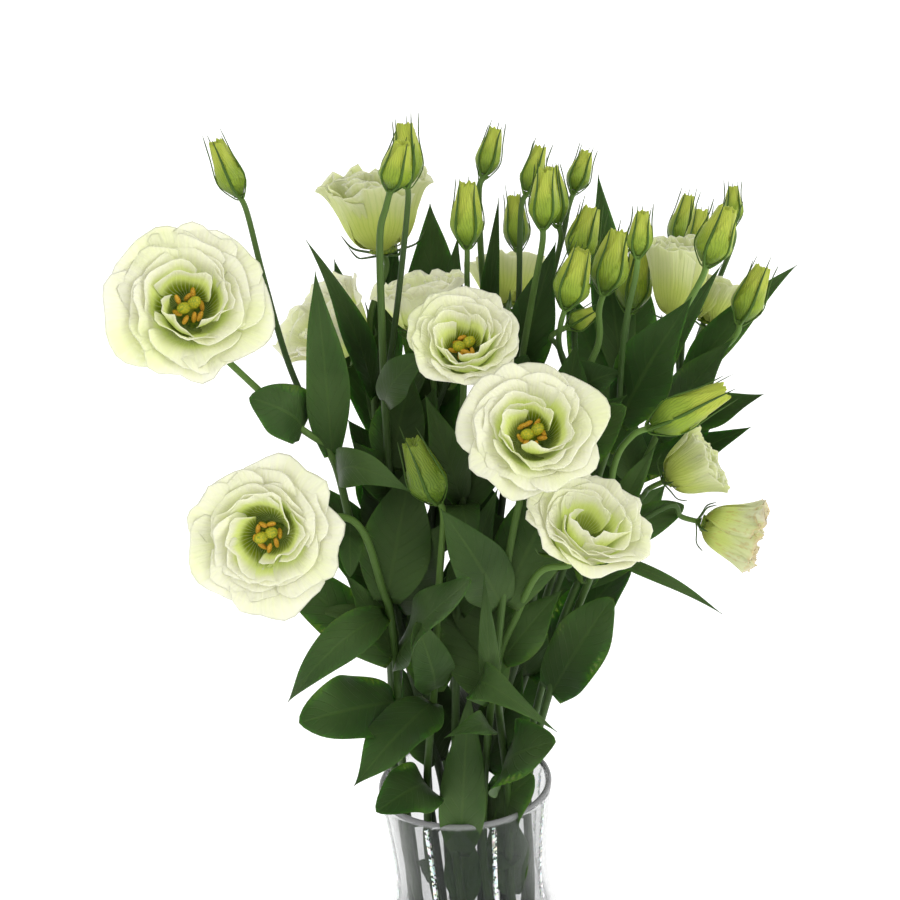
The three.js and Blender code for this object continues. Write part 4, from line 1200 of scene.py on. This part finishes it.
def floor_finish(look):
    made = Finish("Pale studio floor")
    coloured = made.blend(made.between(made.noise(3), 0.3, 0.7), look.floor, (0.97, 0.97, 0.97))
    made.sets(Base_Color=coloured, Roughness=0.9, Specular_IOR_Level=0.1)
    made.sets(Emission_Color=(*WHITE, 1), Emission_Strength=look.floor_glow)
    return made.material


# Settings.


def colour(name, what, default):
    more = dict(subtype="COLOR", min=0, max=1)
    return FloatVectorProperty(name=name, description="Colour of " + what, default=default, **more)


def length(name, description, default):
    more = dict(unit="LENGTH", subtype="DISTANCE", min=0)
    return FloatProperty(name=name, description=description, default=default, **more)


def power(name, description, default):
    return FloatProperty(name=name, description=description, default=default, unit="POWER", min=0)


def share(name, description, default):
    more = dict(subtype="FACTOR", min=0, max=2)
    return FloatProperty(name=name, description=description, default=default, **more)


class BouquetBlooms(bpy.types.PropertyGroup):
    """Sizes and colours of the blooms, buds and stamens."""

    petal_thickness: length("Petal thickness", "Thickness of a petal at its middle", 0.0003)
    ruffle: length("Ruffle", "Height of the waves at the rims of the largest petals", 0.0016)
    bud_fold: share("Bud fold", "Depth of the folds of a bud, as a share of its radius", 0.13)
    stamens: IntProperty(name="Stamens", description="Stamens of each open bloom", default=8, min=3, max=12)
    petal: colour("Petal", "a petal at its rim", (0.6, 0.6, 0.44))
    petal_middle: colour("Petal middle", "a petal half way up", (0.58, 0.66, 0.2))
    petal_vein: colour("Petal vein", "the fine veins of a petal", (0.64, 0.69, 0.34))
    # The petal glow is painted light.
    painted_petal_glow: share("Petal glow", "Strength of the light that comes through a petal", 0.24)
    petal_dry: colour("Dry petal", "the dry rim and streaks of a wilting petal", (0.38, 0.23, 0.06))
    petal_young: colour("Young petal", "the outside of a half open petal", (0.33, 0.38, 0.07))
    throat: colour("Throat", "a petal at its foot", (0.21, 0.28, 0.012))
    bud: colour("Bud", "a bud at its widest", (0.21, 0.3, 0.021))
    bud_foot: colour("Bud foot", "a bud at its foot and in its ribs", (0.075, 0.14, 0.012))
    bud_tip: colour("Bud tip", "a bud at its tip", (0.38, 0.44, 0.05))
    stigma: colour("Stigma", "the lobes of a pistil", (0.5, 0.42, 0.012))
    anther: colour("Anther", "the anthers", (0.46, 0.19, 0.01))
    pollen: colour("Pollen", "the grains on the anthers", (0.7, 0.42, 0.03))
    filament: colour("Filament", "the stalks of the stamens", (0.45, 0.5, 0.1))


class BouquetGreenery(bpy.types.PropertyGroup):
    """Sizes and colours of the leaves, sepals and stems."""

    leaf_thickness: length("Leaf thickness", "Thickness of a leaf at its middle", 0.0005)
    leaf_wave: share("Leaf wave", "Height of the waves at a leaf's edges, as a share of its width", 0.11)
    # Inner shade is painted shade: leaves and stems darken towards the middle of the bunch.
    shade: share("Inner shade", "How dark leaves and stems grow towards the middle of the bunch", 0.9)
    leaf: colour("Leaf", "the upper face of a leaf", (0.024, 0.05, 0.013))
    leaf_light: colour("Leaf light", "the lighter patches of a leaf", (0.047, 0.083, 0.024))
    leaf_under: colour("Leaf underside", "the lower face of a leaf", (0.045, 0.082, 0.026))
    leaf_vein: colour("Leaf vein", "the midrib and veins", (0.06, 0.105, 0.025))
    sepal: colour("Sepal", "a sepal half way up", (0.06, 0.12, 0.02))
    stalk: colour("Stalk", "a stem at its foot", (0.034, 0.072, 0.013))
    stalk_light: colour("Stalk light", "a stem below its flower", (0.12, 0.22, 0.04))


class BouquetVase(bpy.types.PropertyGroup):
    """Sizes and colours of the glass and the water."""

    glass: colour("Glass", "the glass", (0.67, 0.675, 0.675))
    water: colour("Water", "the water", (0.96, 0.99, 0.97))
    glass_shine: colour("Glass shine", "the reflections on the glass", (0.2, 0.24, 0.22))
    rim_haze: share("Rim haze", "How pale the rounded rim of the glass is", 0.3)
    sparkle_scale: FloatProperty(name="Sparkle scale", description="Fineness of the sparkle", default=800)
    turns: IntProperty(name="Turns", description="Faces round the vase", default=128, min=32, max=256)


class BouquetStage(bpy.types.PropertyGroup):
    """Floor and light of the studio."""

    floor: colour("Floor", "the floor", (0.94, 0.94, 0.94))
    floor_glow: share("Floor glow", "How far the floor is lit from within", 0.35)
    sky: share("Sky", "Strength of the even light from all sides", 0.8)
    key: power("Key light", "Power of the large light at the front", 4)
    fill: power("Fill light", "Power of the light at the side", 9)


# Operators.


def wall_between(low, high=math.inf):
    """Places on the outside of the vase's wall, above one height and below another."""
    line = Line([Vector((radius, 0, height)) for radius, height in VASE_WALL])
    wall = [line.at(i / WALL_STEPS) for i in range(WALL_STEPS + 1)]
    return [(p.x, p.z) for p in wall if low < p.z < high]


class BOUQUET_OT_vase(bpy.types.Operator):
    """Turns the glass wall of the vase, with its thick floor and rounded rim"""

    bl_idname = "bouquet.vase"
    bl_label = "Glass vase"

    def execute(self, context):
        look = context.scene.bouquet_vase
        foot = [(0, 0.6), (30, 0.5), (34, 0), (38.5, 0), (40.2, 0.9)]
        rim = []
        for turn in (0.5, 1.05, 1.57, 2.1, 2.65):
            rim.append((RIM_MIDDLE + RIM_HALF_WIDTH * math.cos(turn), RIM_HEIGHT + RIM_RISE * math.sin(turn)))
        inside = [(radius - GLASS, height) for radius, height in wall_between(FLOOR_THICKNESS + FLOOR_EDGE)]
        well = [(FOOT_RADIUS_INSIDE + out, FLOOR_THICKNESS + up) for out, up in ((4, 1.6), (1, 0.3), (-4, 0))]
        well.append((0, FLOOR_THICKNESS))
        mesh = blank()
        turned(mesh, [*foot, *wall_between(0), *rim, *reversed(inside), *well], look.turns)
        piece(mesh, "glass_vase", [glass_finish(look)], "vase")
        return {"FINISHED"}


class BOUQUET_OT_water(bpy.types.Operator):
    """Fills the vase with still water whose rim climbs the glass a little"""

    bl_idname = "bouquet.water"
    bl_label = "Water"

    def execute(self, context):
        look = context.scene.bouquet_vase
        wall = wall_between(FLOOR_THICKNESS + FLOOR_EDGE, WATER_TOP)
        side = [(radius - GLASS + WETTED, height) for radius, height in wall]
        edge = side[-1][0]
        bottom = FLOOR_THICKNESS + WATER_CLEAR
        foot = [(0, bottom), (FOOT_RADIUS_INSIDE - 4, bottom), (FOOT_RADIUS_INSIDE + 1, bottom + 0.35)]
        climb = ((0.2, 0), (0.6, 0.4), (1.8, 1), (4, WATER_DIP))
        top = [(edge - out, WATER_TOP - down) for out, down in climb]
        mesh = blank()
        turned(mesh, [*foot, *side, *top, (0, WATER_TOP - WATER_DIP)], look.turns)
        piece(mesh, "still_water", [water_finish(look)], "water")
        return {"FINISHED"}


class BOUQUET_OT_blooms(bpy.types.Operator):
    """Builds every bloom, petal by petal in its layers"""

    bl_idname = "bouquet.blooms"
    bl_label = "Blooms"

    def execute(self, context):
        look = context.scene.bouquet_blooms
        core = powder_finish("Bloom core", look.throat, look.bud_foot)
        fresh = petal_finish(look)
        # The innermost petals' throat green, reaching further up, is partly painted shade.
        throat = petal_finish(look, "Throat petal", deep=0.16)
        young = petal_finish(look, "Half open petal", green=0.9)
        worn = petal_finish(look, "Wilting petal", worn=0.75, green=0.5)
        for index, bloom in enumerate(BLOOMS):
            petals = worn if bloom["name"] == "wilted" else fresh if bloom["open"] > HALF_OPEN else young
            bloom_piece(index, bloom, look, [petals, core, throat if petals is fresh else petals])
        return {"FINISHED"}


class BOUQUET_OT_buds(bpy.types.Operator):
    """Builds every closed bud, its petals wound round each other"""

    bl_idname = "bouquet.buds"
    bl_label = "Buds"

    def execute(self, context):
        look = context.scene.bouquet_blooms
        # Buds low in the bunch get the darker, greener copy: painted shade.
        high, low = [bud_finish(look)], [bud_finish(look, "Low bud in painted shade", 0.95)]
        for index, bud in enumerate(BUDS):
            bud_piece(index, bud, look, low if BUD_ENDS[bud["name"]]["seat"].z < LOW_BUD else high)
        return {"FINISHED"}


class BOUQUET_OT_hearts(bpy.types.Operator):
    """Builds the pistil and stamens of the open blooms"""

    bl_idname = "bouquet.hearts"
    bl_label = "Stamens"

    def execute(self, context):
        look = context.scene.bouquet_blooms
        finishes = [
            powder_finish("Filament", look.filament, look.throat, 500),
            powder_finish("Stigma", look.stigma, look.throat, 1500),
            powder_finish("Anther", look.anther, look.pollen, 2500),
        ]
        for bloom in BLOOMS:
            if bloom.get("heart"):
                heart_piece(bloom, look, finishes)
        return {"FINISHED"}


class BOUQUET_OT_greenery(bpy.types.Operator):
    """Builds every stem with its branches, leaves and sepals"""

    bl_idname = "bouquet.greenery"
    bl_label = "Leafy stems"

    def execute(self, context):
        look = context.scene.bouquet_greenery
        finishes = [stalk_finish(look), leaf_finish(look), sepal_finish(look)]
        for index, stem in enumerate(STEMS):
            stem_piece(index, stem, look, finishes)
        return {"FINISHED"}


def soft_light(name, place, size, strength):
    data = bpy.data.lights.new(name, "AREA")
    data.shape, data.size, data.energy = "DISK", size, strength
    light = bpy.data.objects.new(name, data)
    light.location = place
    light.rotation_mode = "QUATERNION"
    light.rotation_quaternion = (Vector(AIM) - Vector(place)).to_track_quat("-Z", "Y")
    bpy.context.scene.collection.objects.link(light)


class BOUQUET_OT_stage(bpy.types.Operator):
    """Lays the pale floor that rises into a backdrop, the soft lights and the camera"""

    bl_idname = "bouquet.stage"
    bl_label = "Studio"

    def execute(self, context):
        look = context.scene.bouquet_stage
        scene = context.scene
        mesh = blank()
        sweep = [(0, 0), (FLOOR_REACH, 0)]
        for k in range(FLOOR_STEPS + 1):
            turn = math.pi / 2 * k / FLOOR_STEPS
            sweep.append((FLOOR_BEND_START + FLOOR_BEND * math.sin(turn), FLOOR_BEND * (1 - math.cos(turn))))
        sweep.append((FLOOR_BEND_START + FLOOR_BEND, BACKDROP_HEIGHT))
        turned(mesh, sweep, FLOOR_TURNS)
        shown(mesh, "floor", [floor_finish(look)])

        sky = bpy.data.worlds.new("Studio sky")
        sky.use_nodes = True
        even = sky.node_tree.nodes["Background"]
        even.inputs["Color"].default_value = (*WHITE, 1)
        even.inputs["Strength"].default_value = look.sky
        scene.world = sky
        soft_light("key", KEY_PLACE, KEY_SIZE, look.key)
        soft_light("fill", FILL_PLACE, FILL_SIZE, look.fill)

        data = bpy.data.cameras.new("eye")
        data.angle = 2 * math.atan(PICTURE_CENTRE / FOCAL_PIXELS)
        data.clip_start, data.clip_end = 0.01, 20
        camera = bpy.data.objects.new("eye", data)
        look_down = Matrix.Rotation(math.pi / 2 - EYE_PITCH, 4, "X") @ Matrix.Rotation(-EYE_ROLL, 4, "Z")
        camera.matrix_world = Matrix.Translation(EYE * MM) @ look_down
        scene.collection.objects.link(camera)
        scene.camera = camera
        scene.view_settings.view_transform = "Standard"
        return {"FINISHED"}


class BOUQUET_PT_panel(bpy.types.Panel):
    """The bouquet's settings and steps."""

    bl_label = "Lisianthus Bouquet"
    bl_idname = "BOUQUET_PT_panel"
    bl_space_type = "VIEW_3D"
    bl_region_type = "UI"
    bl_category = "Bouquet"

    def draw(self, context):
        for group in SETTINGS:
            box = self.layout.box()
            settings = getattr(context.scene, group)
            for name in type(settings).__annotations__:
                box.prop(settings, name)
        for step in STEPS:
            self.layout.operator(step.bl_idname)


STEPS = (
    BOUQUET_OT_vase,
    BOUQUET_OT_water,
    BOUQUET_OT_blooms,
    BOUQUET_OT_buds,
    BOUQUET_OT_hearts,
    BOUQUET_OT_greenery,
    BOUQUET_OT_stage,
)
SETTINGS = dict(
    bouquet_blooms=BouquetBlooms,
    bouquet_greenery=BouquetGreenery,
    bouquet_vase=BouquetVase,
    bouquet_stage=BouquetStage,
)


def register():
    for kind in (*SETTINGS.values(), *STEPS, BOUQUET_PT_panel):
        bpy.utils.register_class(kind)
    for name, kind in SETTINGS.items():
        setattr(bpy.types.Scene, name, PointerProperty(type=kind))


def unregister():
    for name in SETTINGS:
        delattr(bpy.types.Scene, name)
    for kind in (BOUQUET_PT_panel, *reversed(STEPS), *SETTINGS.values()):
        bpy.utils.unregister_class(kind)


def main():
    register()
    bpy.ops.bouquet.vase()
    bpy.ops.bouquet.water()
    bpy.ops.bouquet.blooms()
    bpy.ops.bouquet.buds()
    bpy.ops.bouquet.hearts()
    bpy.ops.bouquet.greenery()
    bpy.ops.bouquet.stage()


if __name__ == "__main__":
    main()
